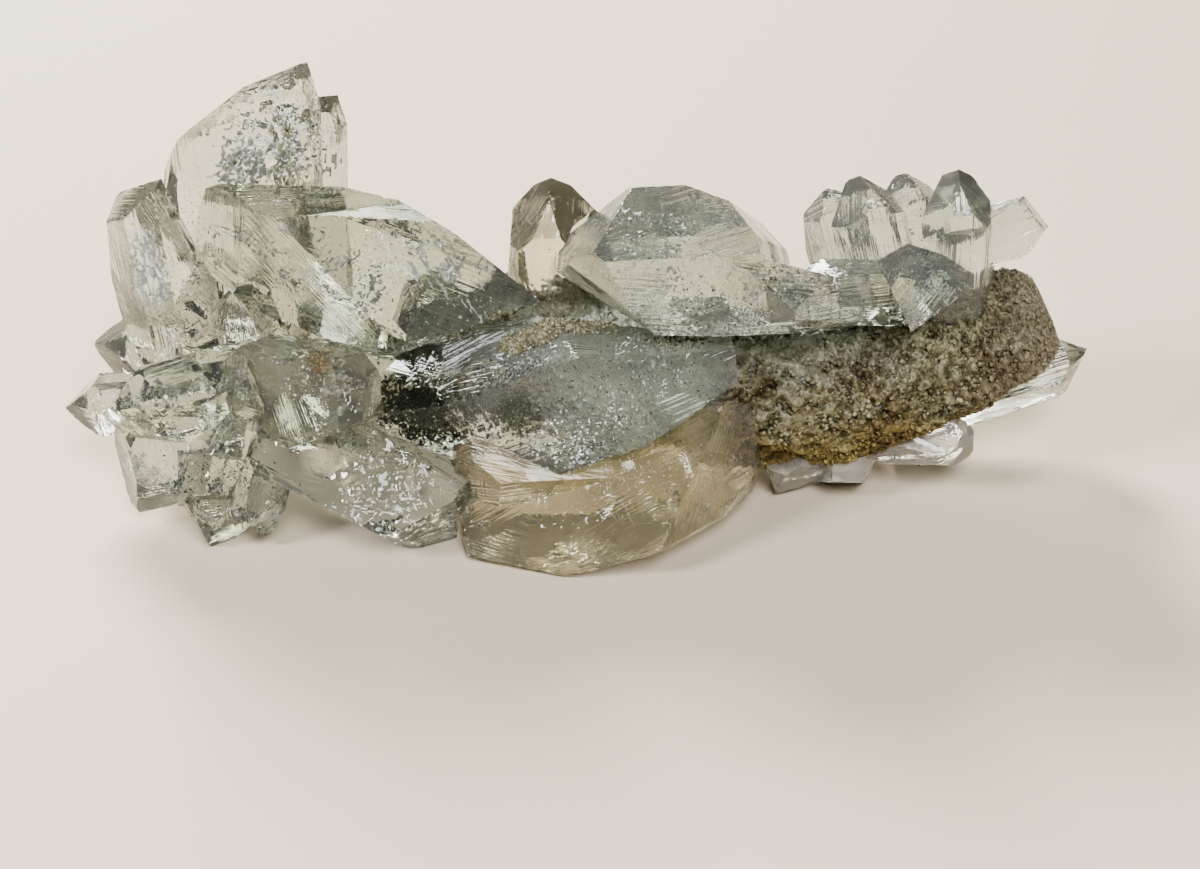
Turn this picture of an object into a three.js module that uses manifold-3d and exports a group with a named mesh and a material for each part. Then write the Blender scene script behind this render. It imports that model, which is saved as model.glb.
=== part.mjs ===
// A chlorite quartz specimen: a long quartz body under a druse of chlorite-green grains, with clear quartz crystals
// grown out of it on every side. Millimetres, +Z up. X runs along the specimen, Y from its show side to its back.
import * as THREE from "three";
import { mergeVertices } from "three/addons/utils/BufferGeometryUtils.js";
import Module from "manifold-3d";

const wasm = await Module();
wasm.setup();

// ---------------------------------------------------------------- driving dimensions

// The angle between quartz's axis and the normals of the six faces that close a point.
const POINT_ANGLE = THREE.MathUtils.degToRad(51.8);
// Every second face of a point is small: it stands back from the tip by this share of the crystal's width.
const SMALL_FACE = 0.12;
// Crystal faces are counted from the side of the specimen that shows best.
const SHOW_SIDE = new THREE.Vector3(0, -0.82, 0.57);
const UPWARDS = new THREE.Vector3(0, 0, 1);
// Clearance round a crystal in the socket that it stands in.
const SEAT_GAP = 0.3;
// Splinters thinner than this are smoothed away.
const SPLINTER = 0.04;

// ---------------------------------------------------------------- solids

// A closed three.js geometry as a manifold-3d solid.
function solidOf(geometry) {
  const bare = geometry.clone();
  bare.deleteAttribute("normal");
  bare.deleteAttribute("uv");
  const merged = mergeVertices(bare, 1e-4);
  return new wasm.Manifold(
    new wasm.Mesh({
      numProp: 3,
      vertProperties: merged.attributes.position.array,
      triVerts: new Uint32Array(merged.index.array),
    }),
  );
}

// A manifold-3d solid as flat-shaded three.js geometry.
function geometryOf(solid) {
  const mesh = solid.getMesh();
  const geometry = new THREE.BufferGeometry();
  geometry.setAttribute("position", new THREE.BufferAttribute(mesh.vertProperties, 3));
  geometry.setIndex(new THREE.BufferAttribute(mesh.triVerts, 1));
  const flat = geometry.toNonIndexed();
  flat.computeVertexNormals();
  return flat;
}

// Grinds a solid back to a plane through point: what lies on the side that outward looks to is taken off.
function faceOff(solid, outward, point) {
  return solid.trimByPlane(outward.clone().negate().toArray(), -outward.dot(point));
}

// One quartz crystal: a six-sided prism closed by six sloping faces.
//   root, tip  the ends of its axis
//   width      its breadth across the show side
//   depth      its thickness
//   roll       its turn about the axis, in degrees
//   taper      how far the prism faces lean in towards the tip, in degrees
//   sides      each prism face's distance from the axis, as a share of the regular one
//   caps       how far each closing face stands back from the tip, in mm
//   faces      further growth faces, each as the direction that it looks in and a point on it
// sides and caps count round from the face that looks to the show side. grow swells the whole crystal by so many mm.
function crystal(form, grow = 0) {
  const {
    width,
    depth = width * 0.9,
    roll = 0,
    taper = 0,
    sides = [1, 1, 1, 1, 1, 1],
    caps = [0, 1, 0, 1, 0, 1].map((small) => small * SMALL_FACE * width),
    faces = [],
  } = form;
  const root = new THREE.Vector3(...form.root);
  const tip = new THREE.Vector3(...form.tip);
  const middle = root.clone().lerp(tip, 0.5);
  const axis = tip.clone().sub(root).normalize();
  const facing = SHOW_SIDE.clone().addScaledVector(axis, -SHOW_SIDE.dot(axis)).normalize();
  facing.applyAxisAngle(axis, THREE.MathUtils.degToRad(roll));

  const reach = 3 * Math.max(width, depth);
  const block = new THREE.BoxGeometry(reach, reach, root.distanceTo(tip) + 2 * grow);
  const across = axis.clone().cross(facing);
  block.applyMatrix4(new THREE.Matrix4().makeBasis(facing, across, axis).setPosition(middle));
  let solid = solidOf(block);

  const lean = THREE.MathUtils.degToRad(taper);
  for (let k = 0; k < 6; k++) {
    const outward = facing.clone().applyAxisAngle(axis, (k * Math.PI) / 3);
    const half = k % 3 === 0 ? depth / 2 : (width / 2) * Math.cos(Math.PI / 6);
    const wall = outward.clone().multiplyScalar(Math.cos(lean)).addScaledVector(axis, Math.sin(lean));
    solid = faceOff(solid, wall, middle.clone().addScaledVector(outward, half * sides[k] + grow));
    const slope = axis.clone().multiplyScalar(Math.cos(POINT_ANGLE)).addScaledVector(outward, Math.sin(POINT_ANGLE));
    solid = faceOff(solid, slope, tip.clone().addScaledVector(axis, -caps[k]).addScaledVector(slope, grow));
  }
  for (const [look, place] of faces) {
    const outward = new THREE.Vector3(...look).normalize();
    solid = faceOff(solid, outward, new THREE.Vector3(...place).addScaledVector(outward, grow));
  }
  return solid;
}

// Crystals that grew into each other, as one solid.
const grownTogether = (forms, grow = 0) =>
  forms.map((form) => crystal(form, grow)).reduce((whole, next) => whole.add(next));

// The blunt end of a crystal whose closing faces never met: they stand off by this much.
const BLUNT = [-9, -9, -9, -9, -9, -9];

// ---------------------------------------------------------------- the chlorite-coated core

// The core's axis from its dark left end to its free right end, as [x, y, z, radius].
const CORE_PATH = [
  [-15, 17.4, 13, 3.8],
  [-7, 17.8, 12.8, 4.8],
  [1, 17.6, 11.6, 5.6],
  [9, 16.2, 10, 6],
  [17, 15, 8.8, 6.2],
  [25, 15.6, 9.4, 6.2],
  [33, 16.6, 12.4, 5.8],
  [40.6, 17.2, 16, 5.2],
];
const CORE_RINGS = 32;
const CORE_SEGMENTS = 24;
const CORE_LUMPS = 0.28;
const END_BLUNTNESS = 0.36;
// The largest grains of the druse, as small points that stand on the core.
const GRAIN_COUNT = 150;
const GRAIN_RADIUS = 1.5;
const GRAIN_HEIGHT = 1.5;
const GRAIN_STANDS_OUT = 0.75;
const GOLDEN_ANGLE = Math.PI * (3 - Math.sqrt(5));

const corePath = new THREE.CatmullRomCurve3(CORE_PATH.map(([x, y, z]) => new THREE.Vector3(x, y, z)));
const coreGirths = new THREE.CatmullRomCurve3(CORE_PATH.map((stop, i) => new THREE.Vector3(i, stop[3], 0)));

// The place on the core's skin at a share of its length and an angle round it, and the direction straight out of it.
// fullness is 1 along the body and falls to 0 at the two poles.
function coreSkin(along, around, fullness) {
  const lumps =
    0.6 * Math.sin(3 * around + 9 * along) +
    0.7 * Math.sin(5 * around - 21 * along + 1.3) +
    0.6 * Math.sin(7 * around + 47 * along + 0.4) +
    0.4 * Math.cos(2 * around + 61 * along);
  const radius = fullness * (coreGirths.getPoint(along).y + CORE_LUMPS * lumps);
  const side = corePath.getTangent(along).cross(UPWARDS).normalize();
  const up = side.clone().cross(corePath.getTangent(along));
  const outward = side.multiplyScalar(Math.cos(around)).addScaledVector(up, Math.sin(around));
  return { place: corePath.getPoint(along).addScaledVector(outward, radius), outward };
}

// A ball turned on the lathe is drawn out along the path: its poles become the core's two blunt ends.
function coreBody() {
  const profile = [];
  for (let i = 0; i <= CORE_RINGS; i++) {
    const angle = (i / CORE_RINGS) * Math.PI;
    profile.push(new THREE.Vector2(Math.sin(angle), -Math.cos(angle)));
  }
  const ball = new THREE.LatheGeometry(profile, CORE_SEGMENTS);
  const vertices = ball.attributes.position;
  for (let i = 0; i < vertices.count; i++) {
    const [x, y, z] = [vertices.getX(i), vertices.getY(i), vertices.getZ(i)];
    const along = THREE.MathUtils.clamp((y + 1) / 2, 0, 1);
    const fullness = Math.min(1, 1.15 * Math.hypot(x, z) ** END_BLUNTNESS);
    const { place } = coreSkin(along, Math.atan2(z, x), fullness);
    vertices.setXYZ(i, place.x, place.y, place.z);
  }
  return solidOf(ball);
}

// One grain: a five-sided point with its foot sunk in the skin.
function grain(i) {
  const along = 0.05 + (0.9 * (i + 0.5)) / GRAIN_COUNT;
  const { place, outward } = coreSkin(along, i * GOLDEN_ANGLE, 1);
  const size = 0.8 + 0.3 * Math.sin(i * 2.7);
  const cone = new THREE.ConeGeometry(GRAIN_RADIUS * size, GRAIN_HEIGHT * size, 5);
  cone.translate(0, GRAIN_STANDS_OUT - (GRAIN_HEIGHT * size) / 2, 0);
  const lean = outward.clone().applyAxisAngle(UPWARDS, 0.35 * Math.sin(i * 1.9)).normalize();
  cone.applyQuaternion(new THREE.Quaternion().setFromUnitVectors(new THREE.Vector3(0, 1, 0), lean));
  cone.translate(place.x, place.y, place.z);
  return solidOf(cone);
}

const coreSolid = () => Array.from({ length: GRAIN_COUNT }, (_, i) => grain(i)).reduce(
  (whole, next) => whole.add(next),
  coreBody(),
);

// ---------------------------------------------------------------- the crystals

// The clear end of the core's own crystal, full of green chlorite, and the dark one behind it.
const PHANTOM_CRYSTALS = [
  {
    root: [11.5, 14.4, 11.2], tip: [-13.5, 8, 11.5], width: 17, depth: 12.5, roll: -12, caps: BLUNT,
    sides: [1.4, 1, 0.75, 0.5, 0.75, 1],
    faces: [
      [[-0.95, 0.03, 0.3], [-10.5, 8, 14.5]],
      [[-0.35, 0.56, 0.75], [-5.1, 10, 18]],
      [[-0.43, -0.31, 0.85], [-2.4, 6.2, 16.8]],
      [[-0.16, -0.97, 0.16], [-2.4, 6.2, 16.8]],
      [[-0.62, -0.6, -0.5], [-10.5, 8, 9.4]],
      [[-0.35, -0.69, -0.64], [-6, 7.5, 6.5]],
      [[0.32, -0.55, -0.77], [0.6, 8, 5.6]],
      [[0.57, -0.41, -0.71], [7.7, 9.5, 9]],
      [[0.12, 0.7, 0.7], [6, 11.5, 17]],
    ],
  },
  {
    root: [-3, 14, 11], tip: [-20, 10.6, 11.6], width: 13, depth: 9, roll: 10, caps: BLUNT,
    faces: [
      [[-0.97, -0.14, 0.2], [-18.4, 10.5, 12]],
      [[-0.16, 0.45, 0.88], [-13.3, 11, 16.4]],
      [[-0.32, -0.67, 0.67], [-11.8, 9.7, 14.7]],
      [[-0.22, -0.97, 0.05], [-13, 7.6, 11.6]],
      [[-0.72, -0.45, -0.53], [-16.8, 9.5, 9]],
      [[-0.29, -0.57, -0.77], [-12.7, 9, 6.8]],
    ],
  },
];

// The fan at the left end, and the blades that run from it along the bottom.
const LEFT_CLUSTER = [
  // The peak, a thin plate with a rounded shoulder.
  {
    root: [-27.4, 19.6, 8.6], tip: [-24, 22, 38], width: 19, depth: 5.6, roll: 4, caps: BLUNT,
    faces: [
      [[-0.36, 0.44, 0.82], [-25, 21, 35.8]],
      [[-0.59, 0.35, 0.73], [-30.4, 20.6, 32.5]],
      [[-0.84, 0.19, 0.51], [-34.3, 20, 28.6]],
      [[0.93, 0.33, 0.18], [-21.7, 21, 35.4]],
      [[0.95, 0.32, -0.06], [-21.6, 20.5, 30.1]],
      [[-0.4, -0.91, -0.07], [-29.9, 18.4, 25]],
    ],
  },
  // Its small neighbour at the back.
  {
    root: [-21.8, 22.4, 9], tip: [-21.4, 25.4, 34], width: 8, depth: 5, caps: BLUNT,
    faces: [
      [[-0.08, 0.55, 0.83], [-21.1, 24, 32.5]],
      [[0.91, 0.36, 0.19], [-19.9, 24, 31.4]],
      [[0.97, 0.23, -0.07], [-19.8, 24, 27.4]],
    ],
  },
  // The crest, the largest crystal of the fan.
  {
    root: [-4, 16, 16.5], tip: [-31, 17, 26.6], width: 17, depth: 13.5, roll: 10, caps: BLUNT,
    faces: [
      [[-0.14, 0.57, 0.81], [-28.4, 15, 29.2]],
      [[0.01, 0.59, 0.8], [-22.5, 14, 29.8]],
      [[0.24, 0.6, 0.76], [-16.4, 14, 29]],
      [[0.49, 0.57, 0.66], [-12.7, 14, 27.1]],
      [[0.58, 0.54, 0.6], [-7.9, 15, 22.2]],
      [[0.09, -0.3, 0.95], [-20.3, 12, 28]],
      [[0.2, -0.91, 0.35], [-16.5, 13, 28.2]],
      [[-0.41, -0.9, -0.17], [-22.7, 11, 26.4]],
      [[-0.62, -0.78, -0.09], [-27.3, 13, 28.2]],
      [[-0.66, -0.69, -0.31], [-26.7, 13, 20.1]],
      [[-0.28, -0.79, -0.54], [-23.1, 12, 17.2]],
      [[-0.35, -0.67, -0.65], [-18.6, 12, 14.9]],
      [[0.36, -0.48, -0.8], [-13.6, 13, 14.5]],
    ],
  },
  // A small prism under the crest's root.
  { root: [-4, 15, 16], tip: [-14.5, 11.5, 17.6], width: 4.2, roll: 20 },
  // The upright at the left, with one bright lined face.
  {
    root: [-33.4, 14.4, 7], tip: [-36.4, 15.6, 31], width: 9, depth: 5.4, roll: 8, caps: BLUNT,
    faces: [
      [[-0.65, -0.1, 0.75], [-36.7, 14.5, 27.6]],
      [[0.5, 0.82, 0.28], [-31.7, 15, 24.1]],
      [[-0.99, 0.05, 0.09], [-39.1, 13.5, 21.5]],
      [[-0.72, -0.69, -0.03], [-36.8, 12.8, 21.6]],
      [[0.75, -0.66, 0.09], [-33.7, 12.6, 21.5]],
    ],
  },
  // The bulge behind it.
  {
    root: [-32, 17, 11], tip: [-43, 17, 12.6], width: 8, depth: 7,
    faces: [
      [[-0.65, 0.47, 0.6], [-40.6, 17, 15.4]],
      [[-0.96, -0.09, 0.27], [-41.6, 17, 13.4]],
      [[-0.86, -0.42, -0.28], [-41.6, 17, 11.3]],
    ],
  },
  // The leftmost point.
  { root: [-34, 13.4, 9.2], tip: [-44.8, 12.8, 8.5], width: 5.6, depth: 5, roll: 10 },
  // The glassy prism under the upright.
  {
    root: [-27, 12.5, 12], tip: [-41.5, 8.5, 9.5], width: 8.6, depth: 7.5, roll: 20,
    faces: [
      [[-0.92, -0.39, 0.07], [-39.9, 10, 11.9]],
      [[-0.57, -0.76, -0.31], [-39.2, 9.5, 8.7]],
      [[-0.1, -0.72, -0.68], [-36.6, 9.5, 7.1]],
      [[-0.16, 0.76, 0.63], [-38.8, 11, 13.7]],
    ],
  },
  // Small points that look down at the lower left.
  {
    root: [-32.4, 13, 10], tip: [-38.4, 6, 0.9], width: 10, depth: 6.4,
    faces: [
      [[-0.97, -0.26, 0.01], [-40, 9, 6.7]],
      [[-0.85, -0.44, -0.29], [-39.2, 8, 3.8]],
      [[-0.73, -0.53, -0.44], [-37.9, 7, 2.2]],
      [[0.28, -0.66, -0.7], [-35.9, 7, 2.2]],
    ],
  },
  {
    root: [-29.5, 12, 11], tip: [-31.6, 3.6, 3.6], width: 8, depth: 6, roll: 30, caps: BLUNT,
    faces: [
      [[0.16, 0.84, 0.52], [-30.4, 5.8, 8.6]],
      [[0.89, -0.26, -0.37], [-28.4, 5.5, 5.8]],
      [[0, -0.73, -0.68], [-31.5, 5.5, 3.7]],
      [[-0.98, -0.17, 0.1], [-33.5, 5.6, 6.6]],
    ],
  },
  // The left foot.
  {
    root: [-29, 11, 10], tip: [-31.4, 4, -1.4], width: 8, depth: 6, roll: 10,
    faces: [
      [[-0.98, -0.16, 0.11], [-33.7, 4.8, 2.9]],
      [[-0.74, -0.51, -0.44], [-33.3, 4.5, 1]],
      [[-0.19, -0.63, -0.75], [-31.9, 4.5, 0]],
      [[0.24, -0.63, -0.74], [-29.8, 4.5, 0.1]],
      [[0, 0, -1], [-31, 5, 0]],
    ],
  },
  {
    root: [-26, 10.5, 9], tip: [-26.6, 3.6, 0.2], width: 5.4, depth: 4, roll: 25,
    faces: [
      [[0.94, 0.11, -0.31], [-24.1, 4.2, 4.8]],
      [[0.85, -0.21, -0.48], [-25, 4, 3.1]],
      [[0.53, -0.45, -0.72], [-26.4, 4, 1.4]],
      [[-0.79, -0.47, -0.4], [-27.6, 4, 1.4]],
    ],
  },
  // The fat crystal in the middle of the fan, with an iron stain.
  {
    root: [-26, 12.5, 13], tip: [-14.5, 2.4, 14.5], width: 11.5, depth: 11, caps: BLUNT,
    faces: [
      [[-0.15, 0.77, 0.63], [-23.8, 9, 18.3]],
      [[0.14, 0.68, 0.72], [-21.1, 8, 18.8]],
      [[0.37, 0.67, 0.65], [-18.3, 7, 18.6]],
      [[0.78, 0.41, 0.47], [-16.5, 6, 17.7]],
      [[0.99, 0.15, 0.05], [-15.8, 5, 16.2]],
      [[0.88, -0.31, -0.36], [-16.1, 5, 14.1]],
      [[0.48, -0.58, -0.66], [-17.3, 5, 12.6]],
      [[0.3, -0.52, -0.8], [-19.9, 6, 10.6]],
      [[0.45, -0.89, 0.1], [-18.5, 3.9, 14.8]],
      [[-0.35, -0.93, 0.1], [-21.8, 4.4, 14]],
      [[-0.69, -0.73, -0.03], [-24.3, 6, 15]],
    ],
  },
  { root: [-28, 12.5, 7], tip: [-27.3, 8.6, 17.2], width: 6, depth: 6, roll: 10 },
  { root: [-28, 15, 12], tip: [-32, 9.6, 16.6], width: 5.4, roll: 20 },
  { root: [-27, 16, 12], tip: [-28.4, 11, 21.6], width: 6.4, roll: 40 },
  { root: [-30, 16, 12], tip: [-33.4, 10.4, 20.2], width: 4.4, roll: 0 },
  // The side that faces away.
  { root: [-28, 16, 9], tip: [-31, 25.4, -1], width: 7.6, roll: 15, faces: [[[0, 0, -1], [-31, 24, 0]]] },
  { root: [-24, 17, 11], tip: [-18.6, 30, 7.6], width: 7.4, roll: 30 },
  { root: [-31, 17, 12], tip: [-39.4, 24.6, 14.6], width: 6.4, roll: 10 },
  { root: [-27, 18, 13], tip: [-28.6, 28.8, 19.4], width: 8.2, roll: 0 },
  { root: [-27, 17, 9], tip: [-36.4, 23.6, 6.4], width: 5.4, roll: 25 },
  { root: [-12, 17, 15], tip: [-14.4, 27.6, 12.4], width: 7, roll: 20 },
  { root: [-26, 14, 8], tip: [-20.6, 18.6, 1.4], width: 6, roll: 0 },
  // The lower-left blade.
  {
    root: [-28, 12.5, 9.5], tip: [-8.6, 2.2, 1], width: 12, depth: 6.6, caps: BLUNT,
    faces: [
      [[-0.45, -0.58, -0.68], [-20.6, 7, 1.5]],
      [[-0.06, -0.75, -0.66], [-14.3, 4, 0.3]],
      [[0.39, -0.83, -0.4], [-11.7, 3.5, 2.5]],
      [[0.86, -0.5, -0.1], [-9.6, 3.6, 4.6]],
      [[0.24, 0.89, 0.38], [-13.9, 8, 9]],
      [[0, 0, -1], [-14, 5, 0.2]],
    ],
  },
];

// The broad blade that the specimen lies on.
const LOWER_BLADE = [
  {
    root: [-13, 6.4, 5], tip: [18, 8.8, 9.8], width: 16, depth: 10, caps: BLUNT, sides: [0.8, 1.6, 1, 1, 1, 1],
    faces: [
      [[-0.17, -0.76, 0.63], [-0.8, -0.5, 0]],
      [[0.62, -0.75, 0.2], [13.2, 5.4, 4]],
      [[-0.2, -0.62, -0.76], [-6.6, 2.1, 0]],
      [[0.24, -0.61, -0.76], [4, 2, 0]],
      [[0.56, -0.65, -0.52], [11.3, 5.2, 1]],
      [[0.79, -0.55, -0.29], [14.3, 7, 3.5]],
      [[0.91, -0.41, -0.09], [15.2, 8, 6.4]],
      [[0.98, 0.05, 0.2], [15.1, 9, 9.6]],
      [[0.17, 0.61, 0.77], [13.1, 8, 12.5]],
      [[-0.35, 0.64, 0.68], [9, 7, 11.4]],
      [[-0.97, -0.24, 0.01], [-9.6, 4.5, 4.8]],
      [[0, 0, -1], [0, 4, 0]],
    ],
  },
  // A second growth along its upper left edge.
  { root: [8, 9, 7], tip: [-12.4, 6.2, 7.8], width: 8.6, depth: 5.4, roll: 10, faces: [[[-0.97, -0.24, 0.01], [-9.8, 5, 8]]] },
];

const SINGLE_POINT = [
  {
    root: [-1.8, 18.5, 14.4], tip: [-2, 18.6, 29], width: 9.4, depth: 7.6, roll: -6,
    faces: [
      [[-0.77, 0.13, 0.63], [-3.6, 18.5, 26.7]],
      [[-1, 0, 0.09], [-5.4, 18, 23.5]],
      [[0.67, 0.36, 0.65], [0.1, 18.5, 26.9]],
      [[-0.65, -0.67, 0.36], [-3.1, 16, 28.1]],
      [[0.72, -0.45, 0.53], [0, 17, 27.2]],
    ],
  },
];

// The row on top: a big stubby crystal, two small ones, and the crown at the right end.
const RIDGE_CRYSTALS = [
  {
    root: [19, 14.4, 22.5], tip: [-3, 12, 22.6], width: 14.4, depth: 12.6, roll: 30, caps: BLUNT,
    faces: [
      [[-0.85, 0.11, 0.52], [0.5, 12, 25.9]],
      [[-0.61, 0.38, 0.69], [3.4, 14, 28.5]],
      [[0.08, 0.62, 0.78], [7.2, 15, 29.1]],
      [[0.35, 0.51, 0.79], [11.6, 15, 27.9]],
      [[0.74, 0.21, 0.64], [14.9, 15, 25.5]],
      [[0.94, -0.06, 0.34], [16.5, 14, 23.5]],
      [[-0.64, -0.53, -0.56], [0.8, 11.5, 21.9]],
      [[-0.53, -0.44, -0.72], [4, 11, 19.2]],
      [[-0.04, -0.38, -0.93], [8.8, 11, 18]],
      [[-0.98, -0.1, 0.1], [-0.6, 11.5, 23.8]],
      [[-0.73, 0.08, 0.68], [1.6, 7.3, 27.2]],
      [[-0.67, -0.68, -0.3], [1.6, 7.3, 27.2]],
    ],
  },
  {
    root: [24, 14.5, 19], tip: [10, 4.4, 23], width: 9, depth: 7.4, roll: 20, caps: BLUNT,
    faces: [
      [[-0.8, 0.21, 0.57], [13.2, 6.5, 26.6]],
      [[0.14, 0.63, 0.76], [15, 7, 27.1]],
      [[-0.95, 0.07, 0.31], [12.1, 6, 24.7]],
      [[-0.68, -0.48, -0.56], [12.8, 6, 22.4]],
      [[-0.41, -0.9, -0.12], [14.4, 6, 26.2]],
      [[0.1, -0.61, -0.79], [17.2, 6, 21.5]],
      [[0.78, -0.54, 0.32], [18.3, 6.5, 24]],
    ],
  },
  { root: [28, 15.5, 18.5], tip: [17.4, 10.6, 21.6], width: 5.6, roll: 0 },
  {
    root: [25, 18, 13], tip: [20.6, 22.4, 26.5], width: 5.6, depth: 5, roll: 0,
    faces: [
      [[-0.66, 0.55, 0.52], [20.6, 22, 23.5]],
      [[0.07, 0.74, 0.67], [22, 22, 24.7]],
      [[-0.99, 0.04, -0.11], [19.8, 21, 20.6]],
    ],
  },
  {
    root: [28, 17, 13], tip: [23.6, 20.4, 28.4], width: 7, depth: 5.4, roll: 10,
    faces: [
      [[-0.95, 0.24, 0.22], [22.8, 20.5, 26.1]],
      [[0, 0.8, 0.6], [23.9, 20.5, 26.5]],
      [[0.4, 0.53, 0.74], [25.6, 20, 26.4]],
      [[0.77, 0.13, 0.62], [27.7, 19, 24.6]],
    ],
  },
  {
    root: [31, 18, 13], tip: [28, 23.4, 27], width: 6, depth: 5, roll: 10,
    faces: [
      [[-0.66, 0.43, 0.61], [27.3, 23, 25.5]],
      [[0.21, 0.71, 0.68], [28.9, 23, 25.5]],
      [[0.77, 0.27, 0.58], [30.5, 23, 24.7]],
    ],
  },
  {
    root: [32.2, 16.4, 15.4], tip: [31.6, 17, 30.6], width: 7.6, depth: 6, roll: 0,
    faces: [
      [[-0.9, 0.32, 0.3], [29.8, 17, 27.3]],
      [[-0.25, 0.63, 0.73], [30.8, 17, 29.3]],
      [[0, 0.8, 0.6], [31.9, 17, 29.4]],
      [[0.79, 0.24, 0.57], [33.6, 17, 28]],
      [[0.98, -0.12, 0.15], [34.9, 16.5, 24.3]],
      [[-0.99, 0.17, 0], [29.1, 16.5, 24.1]],
    ],
  },
  {
    root: [31, 17.4, 20], tip: [41, 17, 25], width: 9, depth: 6.6, caps: BLUNT,
    faces: [
      [[-0.2, 0.6, 0.77], [36.2, 17, 26.6]],
      [[0.78, 0.25, 0.57], [38.5, 17, 25.3]],
      [[0.85, -0.3, -0.42], [38.7, 17, 22.9]],
      [[0.25, -0.4, -0.88], [36.9, 17, 21.3]],
      [[-0.12, -0.98, 0.15], [36, 14.6, 23.5]],
    ],
  },
  {
    root: [29.4, 17, 25], tip: [29.2, 7.6, 19.6], width: 10, depth: 9, roll: 0, caps: BLUNT,
    faces: [
      [[-0.1, 0.77, 0.63], [26.2, 10, 26.6]],
      [[0.51, 0.5, 0.7], [29.3, 9.5, 26.2]],
      [[0.32, 0.57, 0.75], [31.6, 10, 24.6]],
      [[0.99, -0.14, 0.1], [32.6, 10, 23.3]],
      [[0.58, -0.5, -0.64], [30.7, 10, 20.6]],
      [[-0.89, -0.13, -0.44], [25.8, 11, 22.1]],
      [[0.1, -0.96, 0.2], [29, 8.8, 22.5]],
    ],
  },
];

const TAIL_CRYSTAL = [
  {
    root: [26.6, 18.4, 4.6], tip: [47, 20.6, 9.8], width: 7.6, depth: 6, roll: 0,
    faces: [
      [[-0.03, 0.89, 0.45], [41.7, 20, 10.9]],
      [[0.18, 0.75, 0.64], [44, 20, 10.5]],
      [[0.88, -0.4, -0.25], [44.8, 20, 8]],
      [[0.69, -0.62, -0.37], [43.8, 19.5, 5.7]],
      [[0.3, -0.65, -0.69], [39.8, 19, 3.9]],
    ],
  },
];

const FOOT_CRYSTALS = [
  {
    root: [24, 14.5, 6.2], tip: [36.5, 12.6, 4.6], width: 6.4, depth: 5.4, roll: 0,
    faces: [
      [[-0.02, -0.58, -0.81], [31.4, 13, 2.3]],
      [[0.83, -0.43, -0.35], [34.5, 13, 3]],
      [[0.98, -0.16, 0.06], [34.8, 13, 4.9]],
      [[0.58, 0.61, 0.54], [34, 13.5, 6.7]],
    ],
  },
  {
    root: [20, 15, 7], tip: [17.6, 11.6, -1.4], width: 7.4, depth: 6, roll: 20,
    faces: [
      [[-0.28, -0.68, -0.68], [16, 12, 0.2]],
      [[0.22, -0.59, -0.77], [18.2, 12, 0.1]],
      [[0.39, -0.58, -0.72], [20.2, 12.5, 0.5]],
      [[0, 0, -1], [18, 13, 0]],
    ],
  },
  {
    root: [24, 15, 7], tip: [23.6, 12.4, -1.2], width: 6.2, depth: 6, roll: 0, caps: BLUNT,
    faces: [
      [[-0.02, -0.59, -0.81], [23.3, 13, 0.4]],
      [[0.87, -0.42, -0.27], [25.8, 13, 1.3]],
      [[0, 0, -1], [24, 13, 0.3]],
    ],
  },
];

// The side that faces away, between the fan and the crown.
const BACK_FAN = [
  { root: [4, 19.4, 10.6], tip: [-5.4, 28, 5.4], width: 8, roll: 10 },
  { root: [5, 19.4, 11], tip: [5.4, 29.6, 13.4], width: 8.6, roll: 25 },
  { root: [5, 19, 9.4], tip: [2.4, 25.6, 0.6], width: 6.4, roll: 0 },
  { root: [7, 19, 9.6], tip: [13.4, 26.6, 5.4], width: 6.4, roll: 0 },
];
const BACK_FOOT = [
  { root: [20, 19, 9.4], tip: [22.6, 25, -1.2], width: 7.2, roll: 20, faces: [[[0, 0, -1], [23, 24, 0]]] },
  { root: [20, 19, 10.4], tip: [17, 28.4, 11.4], width: 6.8, roll: 0 },
  { root: [21, 19, 10.4], tip: [29.4, 28.4, 14], width: 7.4, roll: 15 },
];

const groups = [
  ["phantom_crystals", PHANTOM_CRYSTALS, "included"],
  ["lower_blade", LOWER_BLADE, "clear"],
  ["left_cluster", LEFT_CLUSTER, "clear"],
  ["ridge_crystals", RIDGE_CRYSTALS, "clear"],
  ["single_point", SINGLE_POINT, "clear"],
  ["foot_crystals", FOOT_CRYSTALS, "clear"],
  ["tail_crystal", TAIL_CRYSTAL, "clear"],
  ["back_fan", BACK_FAN, "clear"],
  ["back_foot", BACK_FOOT, "clear"],
];

// ---------------------------------------------------------------- the specimen

const FINISHES = {
  clear: new THREE.MeshStandardMaterial({ color: 0xe6e6dc, roughness: 0.08, metalness: 0 }),
  included: new THREE.MeshStandardMaterial({ color: 0x8d927c, roughness: 0.2, metalness: 0 }),
  coated: new THREE.MeshStandardMaterial({ color: 0x5d5a44, roughness: 0.85, metalness: 0 }),
};

const specimen = new THREE.Group();
function addNode(name, solid, finish) {
  const mesh = new THREE.Mesh(geometryOf(solid), FINISHES[finish]);
  mesh.name = name;
  specimen.add(mesh);
}

// The one body of a cut solid, without the slivers that the cut leaves.
const oneBody = (solid) => {
  const largest = solid.decompose().reduce((a, b) => (a.volume() > b.volume() ? a : b));
  return largest.asOriginal().simplify(SPLINTER);
};

// Each group stands clear of those before it, and the core is socketed for them all.
const taken = [];
const clearOf = (solid) => taken.reduce((rest, swollen) => rest.subtract(swollen), solid);
for (const [name, forms, finish] of groups) {
  addNode(name, oneBody(clearOf(grownTogether(forms))), finish);
  taken.push(grownTogether(forms, SEAT_GAP));
}
addNode("chlorite_core", oneBody(clearOf(coreSolid())), "coated");

// The origin is in the middle of the ground that the specimen covers.
const extent = new THREE.Box3().setFromObject(specimen);
const middle = extent.getCenter(new THREE.Vector3());
specimen.position.set(-middle.x, -middle.y, -extent.min.z);

export default specimen;
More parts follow.
